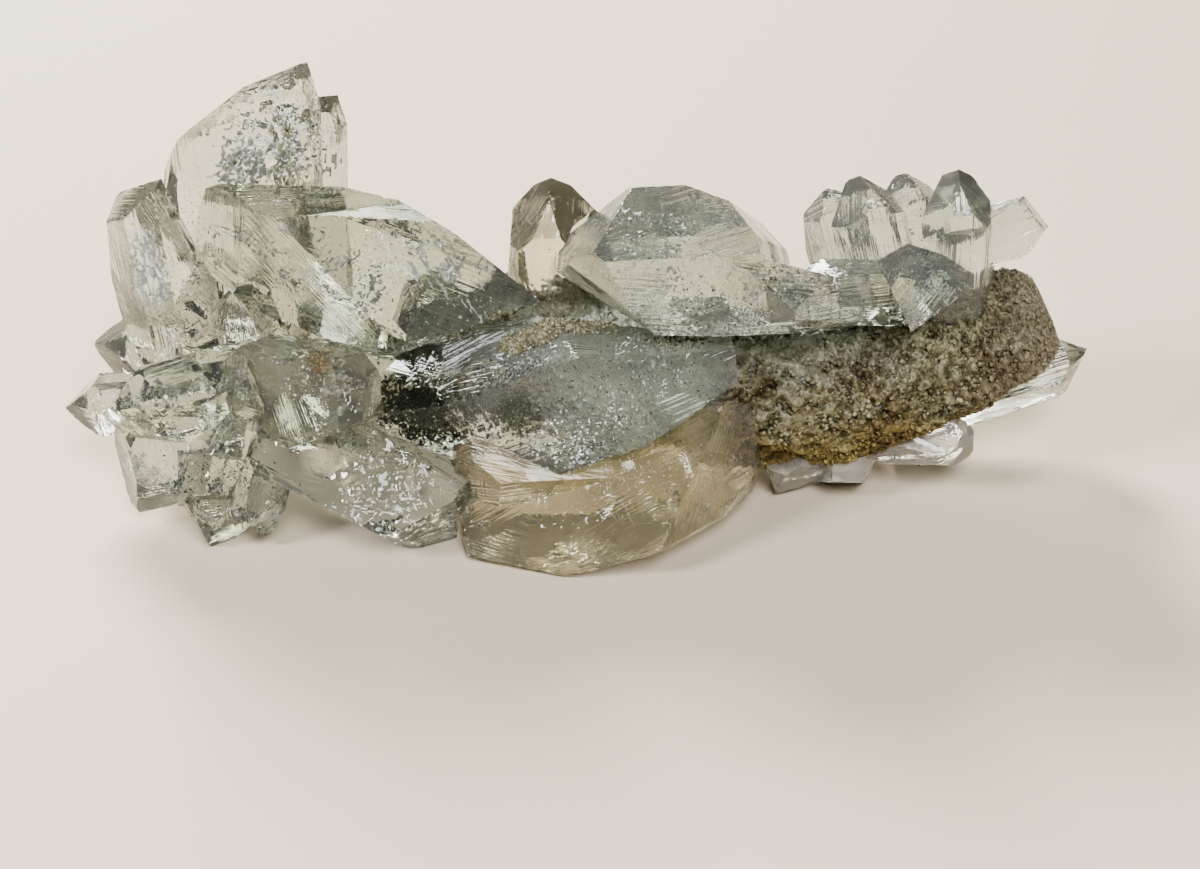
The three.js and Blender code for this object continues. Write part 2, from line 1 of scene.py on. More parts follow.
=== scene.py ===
"""A chlorite quartz specimen: clear crystals on a long core that a druse of chlorite-green grains covers."""
import math

import bmesh
import bpy
import numpy as np
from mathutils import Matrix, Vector


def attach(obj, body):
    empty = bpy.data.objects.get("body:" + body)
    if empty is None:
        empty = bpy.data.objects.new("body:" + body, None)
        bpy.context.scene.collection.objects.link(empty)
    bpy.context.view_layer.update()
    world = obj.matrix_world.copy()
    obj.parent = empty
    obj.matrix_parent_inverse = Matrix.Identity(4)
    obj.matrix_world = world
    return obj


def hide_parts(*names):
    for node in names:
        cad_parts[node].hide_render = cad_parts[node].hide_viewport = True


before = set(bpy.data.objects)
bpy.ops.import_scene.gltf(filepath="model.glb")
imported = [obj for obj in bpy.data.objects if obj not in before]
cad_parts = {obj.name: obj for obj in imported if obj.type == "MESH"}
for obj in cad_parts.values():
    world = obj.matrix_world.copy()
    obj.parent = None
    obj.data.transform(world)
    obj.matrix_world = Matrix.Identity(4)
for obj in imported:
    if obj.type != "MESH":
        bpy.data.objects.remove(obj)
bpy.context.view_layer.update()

# ---------------------------------------------------------------- the chlorite core
# The long body that everything else grew from. It is one bent quartz crystal under a crust of fine quartz
# and chlorite, olive brown with a greyer, glassier stretch on its upper side, and an underside that painted
# floor light turns yellower.

MM = 0.001
# The middle line of the core from its dark left end to its free right end, and its radius there, in mm.
CORE_STOPS = np.array([
    [-15.7, 2.9, 13.0, 3.8],
    [-7.7, 3.3, 12.8, 4.8],
    [0.3, 3.1, 11.6, 5.6],
    [8.3, 1.7, 10.0, 6.0],
    [16.3, 0.5, 8.8, 6.2],
    [24.3, 1.1, 9.4, 6.2],
    [32.3, 2.1, 12.4, 5.8],
    [39.9, 2.7, 16.0, 5.2],
])
CORE_ROWS, CORE_COLUMNS = 420, 210
# How far the core's slow waves, the crust's lumps and its fine ridges stand out, in mm.
CORE_LUMPS = 0.28
CRUST_LUMPS = 0.13
CRUST_RIDGES = 0.09
# The power that rounds the core's ends: 0.5 is an ellipse, and less is blunter.
CORE_BLUNTNESS = 0.36
UP = np.array([0.0, 0.0, 1.0])


def along_stops(stops, along):
    """Catmull-Rom through the stops at shares of the length: each coordinate is the cubic that passes
    through the two stops on either side and leaves each with half the difference of its neighbours."""
    padded = np.vstack([2 * stops[0] - stops[1], stops, 2 * stops[-1] - stops[-2]])
    place = np.clip(along, 0, 1) * (len(stops) - 1)
    first = np.minimum(place.astype(int), len(stops) - 2)
    t = (place - first)[:, None]
    a, b, c, d = (padded[first + i] for i in range(4))
    bend = a - 2.5 * b + 2 * c - d / 2
    swing = 1.5 * (b - c) + (d - a) / 2
    return b + t * (c - a) / 2 + t ** 2 * bend + t ** 3 * swing


def unit(vectors):
    """Each row over its own length."""
    return vectors / np.linalg.norm(vectors, axis=1, keepdims=True)


def core_skin(along, around, fullness):
    """The core's skin in mm, and straight out of it: middle line + radius x (cos around, sin around) across
    the line, with the radius swelling in slow waves and falling to nothing at both ends with fullness."""
    step = 1e-3
    line = along_stops(CORE_STOPS, along)
    ahead = unit((along_stops(CORE_STOPS, along + step) - along_stops(CORE_STOPS, along - step))[:, :3])
    side = unit(np.cross(ahead, UP))
    over = np.cross(side, ahead)
    outward = side * np.cos(around)[:, None] + over * np.sin(around)[:, None]
    lumps = (0.6 * np.sin(3 * around + 9 * along) + 0.7 * np.sin(5 * around - 21 * along + 1.3)
             + 0.6 * np.sin(7 * around + 47 * along + 0.4) + 0.4 * np.cos(2 * around + 61 * along))
    radius = fullness * (line[:, 3] + CORE_LUMPS * lumps)
    return line[:, :3] + outward * radius[:, None], outward


def core_fullness(along):
    """How far the core has swollen to its full radius at a share of its length."""
    return np.minimum(1, 1.15 * (2 * np.sqrt(along * (1 - along))) ** CORE_BLUNTNESS)


def band_noise(rows, columns, finest, coarsest, seed, drawn=1.0):
    """Random relief of unit strength that repeats at its edges, keeping only waves between two lengths in
    cells. The waves are drawn out along the columns by a factor."""
    rng = np.random.default_rng(seed)
    waves = np.hypot(drawn * np.fft.fftfreq(rows)[:, None], np.fft.fftfreq(columns)[None, :])
    kept = (waves > 1 / coarsest) & (waves < 1 / finest)
    relief = np.fft.ifft2(np.fft.fft2(rng.standard_normal((rows, columns))) * kept).real
    return relief / relief.std()


def mesh_piece(name, vertices, faces):
    """A mesh object at the origin from vertices in mm and faces as an array of corners."""
    mesh = bpy.data.meshes.new(name)
    mesh.from_pydata(np.asarray(vertices) * MM, [], faces)
    piece = bpy.data.objects.new(name, mesh)
    bpy.context.scene.collection.objects.link(piece)
    return piece


def core_surface():
    """A grid of rows along the core and columns round it, with a pole at each end. The crust's relief is
    slow lumps and fine ridges: 1 - 1.6 x the size of a noise, which is sharp where that noise crosses 0."""
    turn = (np.arange(1, CORE_ROWS) / CORE_ROWS) * math.pi
    along = np.repeat((1 - np.cos(turn)) / 2, CORE_COLUMNS)
    around = np.tile(np.arange(CORE_COLUMNS) / CORE_COLUMNS * 2 * math.pi, CORE_ROWS - 1)
    fullness = core_fullness(along)
    place, outward = core_skin(along, around, fullness)
    lumps = band_noise(CORE_ROWS - 1, CORE_COLUMNS, 6, 20, 3)
    ridges = 1 - 1.6 * np.abs(band_noise(CORE_ROWS - 1, CORE_COLUMNS, 2.5, 6, 4))
    crust = (CRUST_LUMPS * lumps + CRUST_RIDGES * ridges).ravel()
    place = place + outward * (crust * fullness)[:, None]
    poles = along_stops(CORE_STOPS, np.array([0.0, 1.0]))[:, :3]
    grid = np.arange(len(place)).reshape(CORE_ROWS - 1, CORE_COLUMNS)
    after = np.roll(grid, -1, axis=1)
    quads = np.stack([grid[:-1], after[:-1], after[1:], grid[1:]], axis=-1).reshape(-1, 4)
    start = np.stack([np.full(CORE_COLUMNS, len(place)), after[0], grid[0]], axis=-1)
    end = np.stack([np.full(CORE_COLUMNS, len(place) + 1), grid[-1], after[-1]], axis=-1)
    # painted shade: the core's shade is lighter on the crust's ridges and lumps and darker in its hollows
    shade = np.append(0.5 + 0.22 * ridges.ravel() + 0.1 * lumps.ravel(), [0.5, 0.5])
    return np.vstack([place, poles]), quads.tolist() + start.tolist() + end.tolist(), shade


core_points, core_faces, core_shade = core_surface()
core = mesh_piece("druse_core", core_points, core_faces)
core.data.attributes.new("shade", "FLOAT", "POINT").data.foreach_set("value", core_shade.astype(np.float32))
core.data.shade_smooth()
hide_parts("chlorite_core")
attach(core, "root")

# ---------------------------------------------------------------- the druse
# The crust's crystals: thousands of stubby quartz points, a third of a millimetre across, that stand on the
# core at all angles, dusted with chlorite. They are too small to be solids, so they are mesh on the core.

GRAIN_SIDES = 6
# How far the points lean from straight out, and how deep they stand in the crust, in radii.
DRUSE_STRAY = 0.6
DRUSE_SUNK = 0.9


def stubby_points(place, outward, stray, radius, tall, cap, sunk, rng):
    """Six-sided points, each a ring at the foot, a ring at the shoulder and a tip, stretched and turned to
    its own size, tilt and spin. stray is how far they lean from straight out. tall, cap and sunk are the
    height of a point's sides, of its tip and below its place, in radii."""
    count = len(place)
    stand = unit(outward + rng.normal(0, stray, (count, 3)))
    side = unit(np.cross(stand, rng.standard_normal((count, 3))))
    over = np.cross(stand, side)
    turn = np.arange(GRAIN_SIDES) / GRAIN_SIDES * 2 * math.pi
    ring = (side[:, None] * np.cos(turn)[None, :, None] + over[:, None] * np.sin(turn)[None, :, None])
    ring = ring * radius[:, None, None]
    foot = place - stand * (sunk * radius)[:, None]
    shoulder = place + stand * (tall * radius)[:, None]
    tip = shoulder + stand * (cap * radius)[:, None]
    points = np.concatenate([foot[:, None] + ring, shoulder[:, None] + ring * 0.94, tip[:, None]], axis=1)
    k = np.arange(GRAIN_SIDES)
    after = (k + 1) % GRAIN_SIDES
    walls = np.stack([k, after, after + GRAIN_SIDES, k + GRAIN_SIDES], axis=-1)
    caps = np.stack([k + GRAIN_SIDES, after + GRAIN_SIDES, np.full(GRAIN_SIDES, 2 * GRAIN_SIDES)], axis=-1)
    step = (2 * GRAIN_SIDES + 1) * np.arange(count)[:, None, None]
    faces = (walls + step).reshape(-1, 4).tolist() + (caps + step).reshape(-1, 3).tolist()
    floor = (np.arange(GRAIN_SIDES)[::-1] + step[:, 0]).tolist()
    return points.reshape(-1, 3), faces + floor, np.repeat(rng.random(count), 2 * GRAIN_SIDES + 1)


def druse_points(count, smallest, largest, seed):
    """Stubby points all over the core's skin. Sizes are spread evenly on a log scale between the two given,
    in mm."""
    rng = np.random.default_rng(seed)
    along = rng.uniform(0.004, 0.996, count)
    around = rng.uniform(0, 2 * math.pi, count)
    place, outward = core_skin(along, around, core_fullness(along))
    radius = smallest * (largest / smallest) ** rng.random(count)
    tall = rng.uniform(0.4, 0.9, count)
    return stubby_points(place, outward, DRUSE_STRAY, radius, tall, 0.8, DRUSE_SUNK, rng)


def shaded_piece(name, points, faces, shade):
    """One joined mesh whose vertices carry a shade from 0 to 1. It rides with the specimen."""
    piece = mesh_piece(name, points, faces)
    piece.data.attributes.new("shade", "FLOAT", "POINT").data.foreach_set("value", shade.astype(np.float32))
    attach(piece, "root")
    return piece


druse = [
    shaded_piece("druse_points_fine", *druse_points(9000, 0.09, 0.17, 11)),
    shaded_piece("druse_points_coarse", *druse_points(6800, 0.12, 0.27, 12)),
]


def node_tree(material):
    """A material's nodes, its links and the Principled shader that every finish here ends in."""
    material.use_nodes = True
    nodes, links = material.node_tree.nodes, material.node_tree.links
    return nodes, links, nodes["Principled BSDF"]


def ramp(nodes, links, source, stops):
    """Colours spread over a number from 0 to 1: the stops are (place, colour)."""
    node = nodes.new("ShaderNodeValToRGB")
    links.new(source, node.inputs["Fac"])
    while len(node.color_ramp.elements) < len(stops):
        node.color_ramp.elements.new(0.5)
    for element, (place, colour) in zip(node.color_ramp.elements, stops):
        element.position = place
        element.color = (*colour, 1)
    return node.outputs["Color"]


def noise(nodes, links, vector, scale, detail=3.0, roughness=0.55):
    """A noise texture's number over the piece. scale is in waves per metre."""
    node = nodes.new("ShaderNodeTexNoise")
    node.inputs["Scale"].default_value = scale
    node.inputs["Detail"].default_value = detail
    node.inputs["Roughness"].default_value = roughness
    links.new(vector, node.inputs["Vector"])
    return node.outputs["Fac"]


def number(nodes, links, operation, *operands):
    """A maths node on numbers and sockets."""
    node = nodes.new("ShaderNodeMath")
    node.operation = operation
    for slot, operand in zip(node.inputs, operands):
        if isinstance(operand, (int, float)):
            slot.default_value = operand
        else:
            links.new(operand, slot)
    return node.outputs[0]


def blend(nodes, links, how_much, first, second, mode="MIX"):
    """Two colours mixed by a number or a socket. Either colour may be a socket too."""
    node = nodes.new("ShaderNodeMix")
    node.data_type = "RGBA"
    node.blend_type = mode
    for slot, value in zip(("Factor", "A", "B"), (how_much, first, second)):
        if isinstance(value, bpy.types.NodeSocket):
            links.new(value, node.inputs[slot])
        else:
            node.inputs[slot].default_value = value if slot == "Factor" else (*value, 1)
    return node.outputs["Result"]


def attribute(nodes, name):
    """A number that the mesh carries under this name."""
    node = nodes.new("ShaderNodeAttribute")
    node.attribute_name = name
    return node.outputs["Fac"]


def between(nodes, links, source, low, high, to_low=0.0, to_high=1.0):
    """A number spread from one range to another and held at its ends."""
    node = nodes.new("ShaderNodeMapRange")
    links.new(source, node.inputs["Value"])
    for slot, value in zip(("From Min", "From Max", "To Min", "To Max"), (low, high, to_low, to_high)):
        node.inputs[slot].default_value = value
    return node.outputs["Result"]


def chlorite_crust(name, ground, paled=0.85):
    """Olive-brown crust. Its shade attribute is painted shade on the core, darker in the hollows, and a
    random tone on each grain. The upper side of the middle is greyer and glassier, the underside yellower
    with painted light from the floor, the free end paler, and what the phantom crystals have closed over is a
    pale grey-green. ground is the darkest colour, which the painted shade gives the core's hollows, and
    paled how far that grey-green goes."""
    material = bpy.data.materials.new(name)
    nodes, links, shader = node_tree(material)
    place = nodes.new("ShaderNodeTexCoord").outputs["Object"]
    split = nodes.new("ShaderNodeSeparateXYZ")
    links.new(place, split.inputs[0])
    # Specks a quarter of a mm across, and stains of 5 mm.
    fine = noise(nodes, links, place, 3600, 3, 0.65)
    broad = noise(nodes, links, place, 210, 5, 0.6)
    # on the core the shade attribute brings in painted shade, darker in the crust's hollows
    tone = number(nodes, links, "MULTIPLY_ADD", attribute(nodes, "shade"), 0.4, number(
        nodes, links, "MULTIPLY_ADD", fine, 0.5, 0.08))
    colour = ramp(nodes, links, tone, [
        (0.28, ground), (0.46, (0.155, 0.137, 0.082)), (0.62, (0.27, 0.245, 0.17)), (0.8, (0.42, 0.4, 0.31))])
    stained = ramp(nodes, links, broad, [
        (0.36, (0.55, 0.46, 0.34)), (0.5, (1.0, 0.98, 0.9)), (0.64, (1.15, 1.2, 1.12))])
    colour = blend(nodes, links, 0.85, colour, stained, "MULTIPLY")
    # The zones' borders are places in metres, and those across the height wander up and down by a few mm.
    wander = number(nodes, links, "MULTIPLY_ADD", number(nodes, links, "SUBTRACT", broad, 0.5), 0.014,
                    split.outputs["Z"])
    over = between(nodes, links, wander, 0.0115, 0.0145)
    near = between(nodes, links, split.outputs["X"], 0.023, 0.029, 1.0, 0.0)
    glassy = number(nodes, links, "MULTIPLY", over, near)
    greyed = number(nodes, links, "MULTIPLY", glassy, 0.15 + 0.4 * paled)
    colour = blend(nodes, links, greyed, colour, (0.38, 0.4, 0.33))
    # painted light: the underside is made yellower and brighter, as the yellow floor lights it from below
    under = between(nodes, links, wander, 0.0065, 0.0105, 1.0, 0.0)
    colour = blend(nodes, links, under, colour, (1.3, 1.15, 0.76), "MULTIPLY")
    end = between(nodes, links, split.outputs["X"], 0.0335, 0.0375)
    colour = blend(nodes, links, number(nodes, links, "MULTIPLY", end, 0.5), colour, (0.32, 0.28, 0.21))
    left_of = between(nodes, links, split.outputs["X"], 0.0095, 0.0125, 1.0, 0.0)
    right_of = between(nodes, links, split.outputs["X"], -0.009, -0.006)
    in_front = between(nodes, links, split.outputs["Y"], 0.001, 0.003, paled, 0.0)
    covered = number(nodes, links, "MULTIPLY", number(nodes, links, "MULTIPLY", left_of, right_of), in_front)
    colour = blend(nodes, links, covered, colour, (0.74, 0.75, 0.65))
    links.new(colour, shader.inputs["Base Color"])
    links.new(between(nodes, links, glassy, 0.0, 1.0, 0.36, 0.16), shader.inputs["Roughness"])
    bump = nodes.new("ShaderNodeBump")
    bump.inputs["Strength"].default_value = 0.8
    bump.inputs["Distance"].default_value = 0.09 * MM
    links.new(noise(nodes, links, place, 5200, 1.5, 0.6), bump.inputs["Height"])
    links.new(bump.outputs["Normal"], shader.inputs["Normal"])
    return material


core.data.materials.append(chlorite_crust("crust_ground", (0.05, 0.044, 0.026)))
grain_finish = chlorite_crust("crust_grains", (0.075, 0.066, 0.04))
for piece in druse:
    piece.data.materials.append(grain_finish)

# ---------------------------------------------------------------- the quartz crystals
# Clear quartz, grown in flat faces. Each group of crystals that grew into each other is one body of glass.
# Its long faces carry fine growth lines, shallow ledges and pits, and their edges are slightly chipped.

# The longest edge of the finished mesh, in mm.
FINENESS = 0.55
# Corners closer than SEAM are one, triangles within FLAT radians of each other are one facet, and what is
# left of an edge shorter than SHORTEST is closed, in metres.
SEAM = 2e-6
FLAT = 0.008
SHORTEST = 0.06 * MM
# How deep the ledges, the pits and the chipped edges go at most, in mm.
LEDGE = 0.035
PIT = 0.025
CHIP = 0.09
# The facets of each CAD node, once they are worked out.
cut = {}


def read(data, field, width, kind=np.float32):
    """One field of a mesh's vertices, corners or faces as an array."""
    values = np.zeros(len(data) * width, kind)
    data.foreach_get(field, values)
    return values.reshape(-1, width) if width > 1 else values


def facets(node):
    """A CAD node as points in mm, triangles, and the number of the flat facet that each triangle lies in."""
    if node in cut:
        return cut[node]
    work = bmesh.new()
    work.from_mesh(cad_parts[node].data)
    bmesh.ops.remove_doubles(work, verts=work.verts[:], dist=SEAM)
    bmesh.ops.dissolve_limit(work, angle_limit=FLAT, verts=work.verts[:], edges=work.edges[:])
    bmesh.ops.dissolve_degenerate(work, dist=SHORTEST, edges=work.edges[:])
    number = work.faces.layers.int.new("facet")
    for i, face in enumerate(work.faces):
        face[number] = i
    bmesh.ops.triangulate(work, faces=work.faces[:])
    mesh = bpy.data.meshes.new(node + "_facets")
    work.to_mesh(mesh)
    work.free()
    points = read(mesh.vertices, "co", 3).astype(float) / MM
    corners = read(mesh.loops, "vertex_index", 1, np.int32).reshape(-1, 3)
    facet = read(mesh.attributes["facet"].data, "value", 1, np.int32)
    bpy.data.meshes.remove(mesh)
    cut[node] = points, corners, facet
    return cut[node]


def facet_frames(points, corners, facet):
    """Each facet's middle, its axes u along its longest direction, v across and w outward, and how drawn
    out it is: the axes are those of the spread of its triangles' corners, and a square facet is drawn out
    by 0."""
    ends = points[corners]
    faces = np.cross(ends[:, 1] - ends[:, 0], ends[:, 2] - ends[:, 0])
    area = np.linalg.norm(faces, axis=1)
    total = np.bincount(facet, area)
    outward = unit(np.stack([np.bincount(facet, faces[:, i]) for i in range(3)], axis=-1))
    centre = ends.mean(1)
    middle = np.stack([np.bincount(facet, area * centre[:, i]) for i in range(3)], axis=-1) / total[:, None]
    off = ends - middle[facet][:, None]
    spread = np.zeros((len(total), 3, 3))
    np.add.at(spread, facet, area[:, None, None] * (off[:, :, :, None] * off[:, :, None, :]).sum(1))
    values, axes = np.linalg.eigh(spread)
    longways = axes[:, :, 2]
    across = np.cross(outward, longways)
    drawn = 1 - np.sqrt(np.maximum(values[:, 1], 0) / np.maximum(values[:, 2], 1e-9))
    return middle, longways, across, outward, drawn


def refined(points, corners, facet, fineness):
    """Halves every edge longer than the fineness, round by round. A triangle with one long edge becomes
    two, with two long edges three, and with three long edges four, so that neighbours keep their corners in
    common."""
    while True:
        ends = np.sort(np.stack([corners, np.roll(corners, -1, axis=1)], axis=-1), axis=-1)
        edges, edge_of = np.unique(ends.reshape(-1, 2), axis=0, return_inverse=True)
        long = np.linalg.norm(points[edges[:, 0]] - points[edges[:, 1]], axis=1) > fineness
        if not long.any():
            return points, corners, facet
        half = np.full(len(edges), -1)
        half[long] = len(points) + np.arange(long.sum())
        points = np.vstack([points, points[edges[long]].mean(1)])
        halves = half[edge_of.reshape(-1, 3)]
        split = (halves >= 0).sum(1)
        rows = np.arange(len(corners))
        first = np.where(split == 1, np.argmax(halves >= 0, axis=1), (np.argmax(halves < 0, axis=1) + 1) % 3)
        a, b, c = (corners[rows, (first + i) % 3] for i in range(3))
        ab, bc, ca = (halves[rows, (first + i) % 3] for i in range(3))
        none, one, two, three = (split == i for i in range(4))
        pieces = [
            (none, (a, b, c)),
            (one, (a, ab, c)), (one, (ab, b, c)),
            (two, (ab, b, bc)), (two, (a, ab, bc)), (two, (a, bc, c)),
            (three, (a, ab, ca)), (three, (ab, b, bc)), (three, (ca, bc, c)), (three, (ab, bc, ca)),
        ]
        corners = np.vstack([np.stack(trio, axis=-1)[which] for which, trio in pieces])
        facet = np.concatenate([facet[which] for which, _ in pieces])


def weathered(points, corners, facet, frames, pits, seed):
    """Moves the surface along its facets' normals. Inside a facet: ledges, a saw of slow slopes and quick
    drops across the growth lines, and round dimples. On the facets' edges: chips, a random depth below the
    true edge."""
    rng = np.random.default_rng(seed)
    middle, longways, across, outward, drawn = frames
    of = np.repeat(facet, 3)
    low = np.full(len(points), len(outward))
    high = np.full(len(points), -1)
    np.minimum.at(low, corners.ravel(), of)
    np.maximum.at(high, corners.ravel(), of)
    off = points - middle[low]
    u = (off * longways[low]).sum(1)
    v = (off * across[low]).sum(1)
    # A ledge every 1.8 mm, which winds along its facet and starts elsewhere in each one. Four fifths of it
    # are slope.
    saw = np.mod(0.55 * v + 0.24 * np.sin(0.7 * u + 1.7 * np.sin(0.9 * v)) + 0.37 * low, 1)
    height = -LEDGE * drawn[low] * np.where(saw < 0.8, saw / 0.8, (1 - saw) / 0.2)
    # Pits are 0.5 to 1.4 mm in radius.
    seats = points[rng.choice(len(points), pits)]
    widths = rng.uniform(0.5, 1.4, pits)
    depths = PIT * rng.uniform(0.3, 1.0, pits)
    for seat, width, depth in zip(seats, widths, depths):
        height -= depth * np.exp(-((points - seat) ** 2).sum(1) / width ** 2)
    height = np.where(low == high, height, -CHIP * rng.random(len(points)) ** 3)
    return points + (outward[low] + outward[high]) / 2 * height[:, None], low != high


def crystals(name, node, finish, pits, seed):
    """The quartz of one CAD node: its facets, cut finely and weathered. Its corners carry the place in
    their facet in mm, for the growth lines, and its faces how drawn out their facet is. Shading breaks only
    between facets."""
    points, corners, facet = facets(node)
    frames = facet_frames(points, corners, facet)
    points, corners, facet = refined(points, corners, facet, FINENESS)
    moved, edge = weathered(points, corners, facet, frames, pits, seed)
    middle, longways, across, outward, drawn = frames
    piece = mesh_piece(name, moved, corners.tolist())
    mesh = piece.data
    off = points[corners] - middle[facet][:, None]
    uv = np.stack([(off * longways[facet][:, None]).sum(-1), (off * across[facet][:, None]).sum(-1)], axis=-1)
    uv += 7.3 * facet[:, None, None]
    mesh.uv_layers.new(name="facet_lines").data.foreach_set("uv", uv.astype(np.float32).ravel())
    mesh.attributes.new("drawn", "FLOAT", "FACE").data.foreach_set("value", drawn[facet].astype(np.float32))
    mesh.attributes.new("edge", "FLOAT", "POINT").data.foreach_set("value", edge.astype(np.float32))
    tone = np.random.default_rng(seed).random(len(drawn))[facet]
    mesh.attributes.new("tone", "FLOAT", "FACE").data.foreach_set("value", tone.astype(np.float32))
    edge_of = read(mesh.loops, "edge_index", 1, np.int32)
    first = np.full(len(mesh.edges), len(outward))
    last = np.full(len(mesh.edges), -1)
    np.minimum.at(first, edge_of, np.repeat(facet, 3))
    np.maximum.at(last, edge_of, np.repeat(facet, 3))
    mesh.attributes.new("sharp_edge", "BOOLEAN", "EDGE").data.foreach_set("value", first != last)
    mesh.materials.append(finish)
    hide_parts(node)
    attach(piece, "root")
    return piece


def effect(name, outputs):
    """An empty shader node group that puts out these numbers, with its nodes, links and output sockets."""
    group = bpy.data.node_groups.new(name, "ShaderNodeTree")
    for output in outputs:
        group.interface.new_socket(output, in_out="OUTPUT", socket_type="NodeSocketFloat")
    return group, group.nodes, group.links, group.nodes.new("NodeGroupOutput")


def growth_effect():
    """What growth leaves on every face. Relief is fine lines and low steps along a drawn-out facet, in
    patches, over faint hills. Cloud is how milky a place is, uneven inside a crystal and from facet to
    facet. Lines is the dust that the lines have caught, and Edge the worn rim of each facet."""
    group, nodes, links, out = effect("growth", ("Relief", "Cloud", "Lines", "Edge"))
    place = nodes.new("ShaderNodeTexCoord").outputs["Object"]
    facet_place = nodes.new("ShaderNodeUVMap")
    facet_place.uv_map = "facet_lines"
    # Growth lines are some 11 mm long and 0.3 mm apart.
    stretch = nodes.new("ShaderNodeMapping")
    stretch.inputs["Scale"].default_value = (0.09, 3.4, 1)
    links.new(facet_place.outputs["UV"], stretch.inputs["Vector"])
    line = noise(nodes, links, stretch.outputs["Vector"], 1.0, 1.5, 0.6)
    split = nodes.new("ShaderNodeSeparateXYZ")
    links.new(facet_place.outputs["UV"], split.inputs[0])
    # Clouds are some 3 mm across and hills 6 mm. The steps are 1.4 mm apart and wander with the hills.
    cloud = noise(nodes, links, place, 300, 4, 0.68)
    hills = noise(nodes, links, place, 170, 0, 0.5)
    step = number(nodes, links, "FRACT", number(nodes, links, "MULTIPLY_ADD", hills, 5.0, number(
        nodes, links, "MULTIPLY", split.outputs["Y"], 0.7)))
    patch = between(nodes, links, hills, 0.45, 0.58, 0.08, 1.0)
    lined = number(nodes, links, "POWER", attribute(nodes, "drawn"), 0.6)
    drawn = number(nodes, links, "MULTIPLY", lined, patch)
    relief = number(nodes, links, "MULTIPLY_ADD", step, 0.3, line)
    links.new(number(nodes, links, "MULTIPLY", relief, drawn), out.inputs["Relief"])
    dusty = between(nodes, links, line, 0.52, 0.66)
    links.new(number(nodes, links, "MULTIPLY", dusty, drawn), out.inputs["Lines"])
    uneven = number(nodes, links, "MULTIPLY_ADD", attribute(nodes, "tone"), 0.26, -0.13)
    links.new(number(nodes, links, "ADD", cloud, uneven), out.inputs["Cloud"])
    rim = number(nodes, links, "MULTIPLY_ADD", cloud, 0.35, attribute(nodes, "edge"))
    links.new(between(nodes, links, rim, 1.08, 1.2), out.inputs["Edge"])
    return group


def spot_effect():
    """A round patch. Mask is 1 within Radius of Centre, in metres, and falls to 0 over its last part,
    raggedly. Soft does so evenly."""
    group, nodes, links, out = effect("spot", ("Mask", "Soft"))
    group.interface.new_socket("Centre", in_out="INPUT", socket_type="NodeSocketVector")
    group.interface.new_socket("Radius", in_out="INPUT", socket_type="NodeSocketFloat")
    given = nodes.new("NodeGroupInput")
    place = nodes.new("ShaderNodeTexCoord").outputs["Object"]
    off = nodes.new("ShaderNodeVectorMath")
    off.operation = "DISTANCE"
    links.new(place, off.inputs[0])
    links.new(given.outputs["Centre"], off.inputs[1])
    share = number(nodes, links, "DIVIDE", off.outputs["Value"], given.outputs["Radius"])
    ragged = number(nodes, links, "MULTIPLY_ADD", noise(nodes, links, place, 900, 1.5, 0.7), 1.2, share)
    links.new(between(nodes, links, ragged, 1.1, 1.7, 1.0, 0.0), out.inputs["Mask"])
    links.new(between(nodes, links, share, 0.5, 1.1, 1.0, 0.0), out.inputs["Soft"])
    return group


def hackle_effect():
    """Closely set pits with sharp ridges between them: Relief is how far a noise is from its middle,
    doubled."""
    group, nodes, links, out = effect("hackle", ("Relief",))
    place = nodes.new("ShaderNodeTexCoord").outputs["Object"]
    off = number(nodes, links, "SUBTRACT", noise(nodes, links, place, 620, 1.5, 0.5), 0.5)
    ridges = number(nodes, links, "MULTIPLY", number(nodes, links, "ABSOLUTE", off), 2.0)
    links.new(ridges, out.inputs["Relief"])
    return group


# The roughness of a face that has turned matt.
MATT = 0.05
growth = growth_effect()
spot = spot_effect()
hackle = hackle_effect()


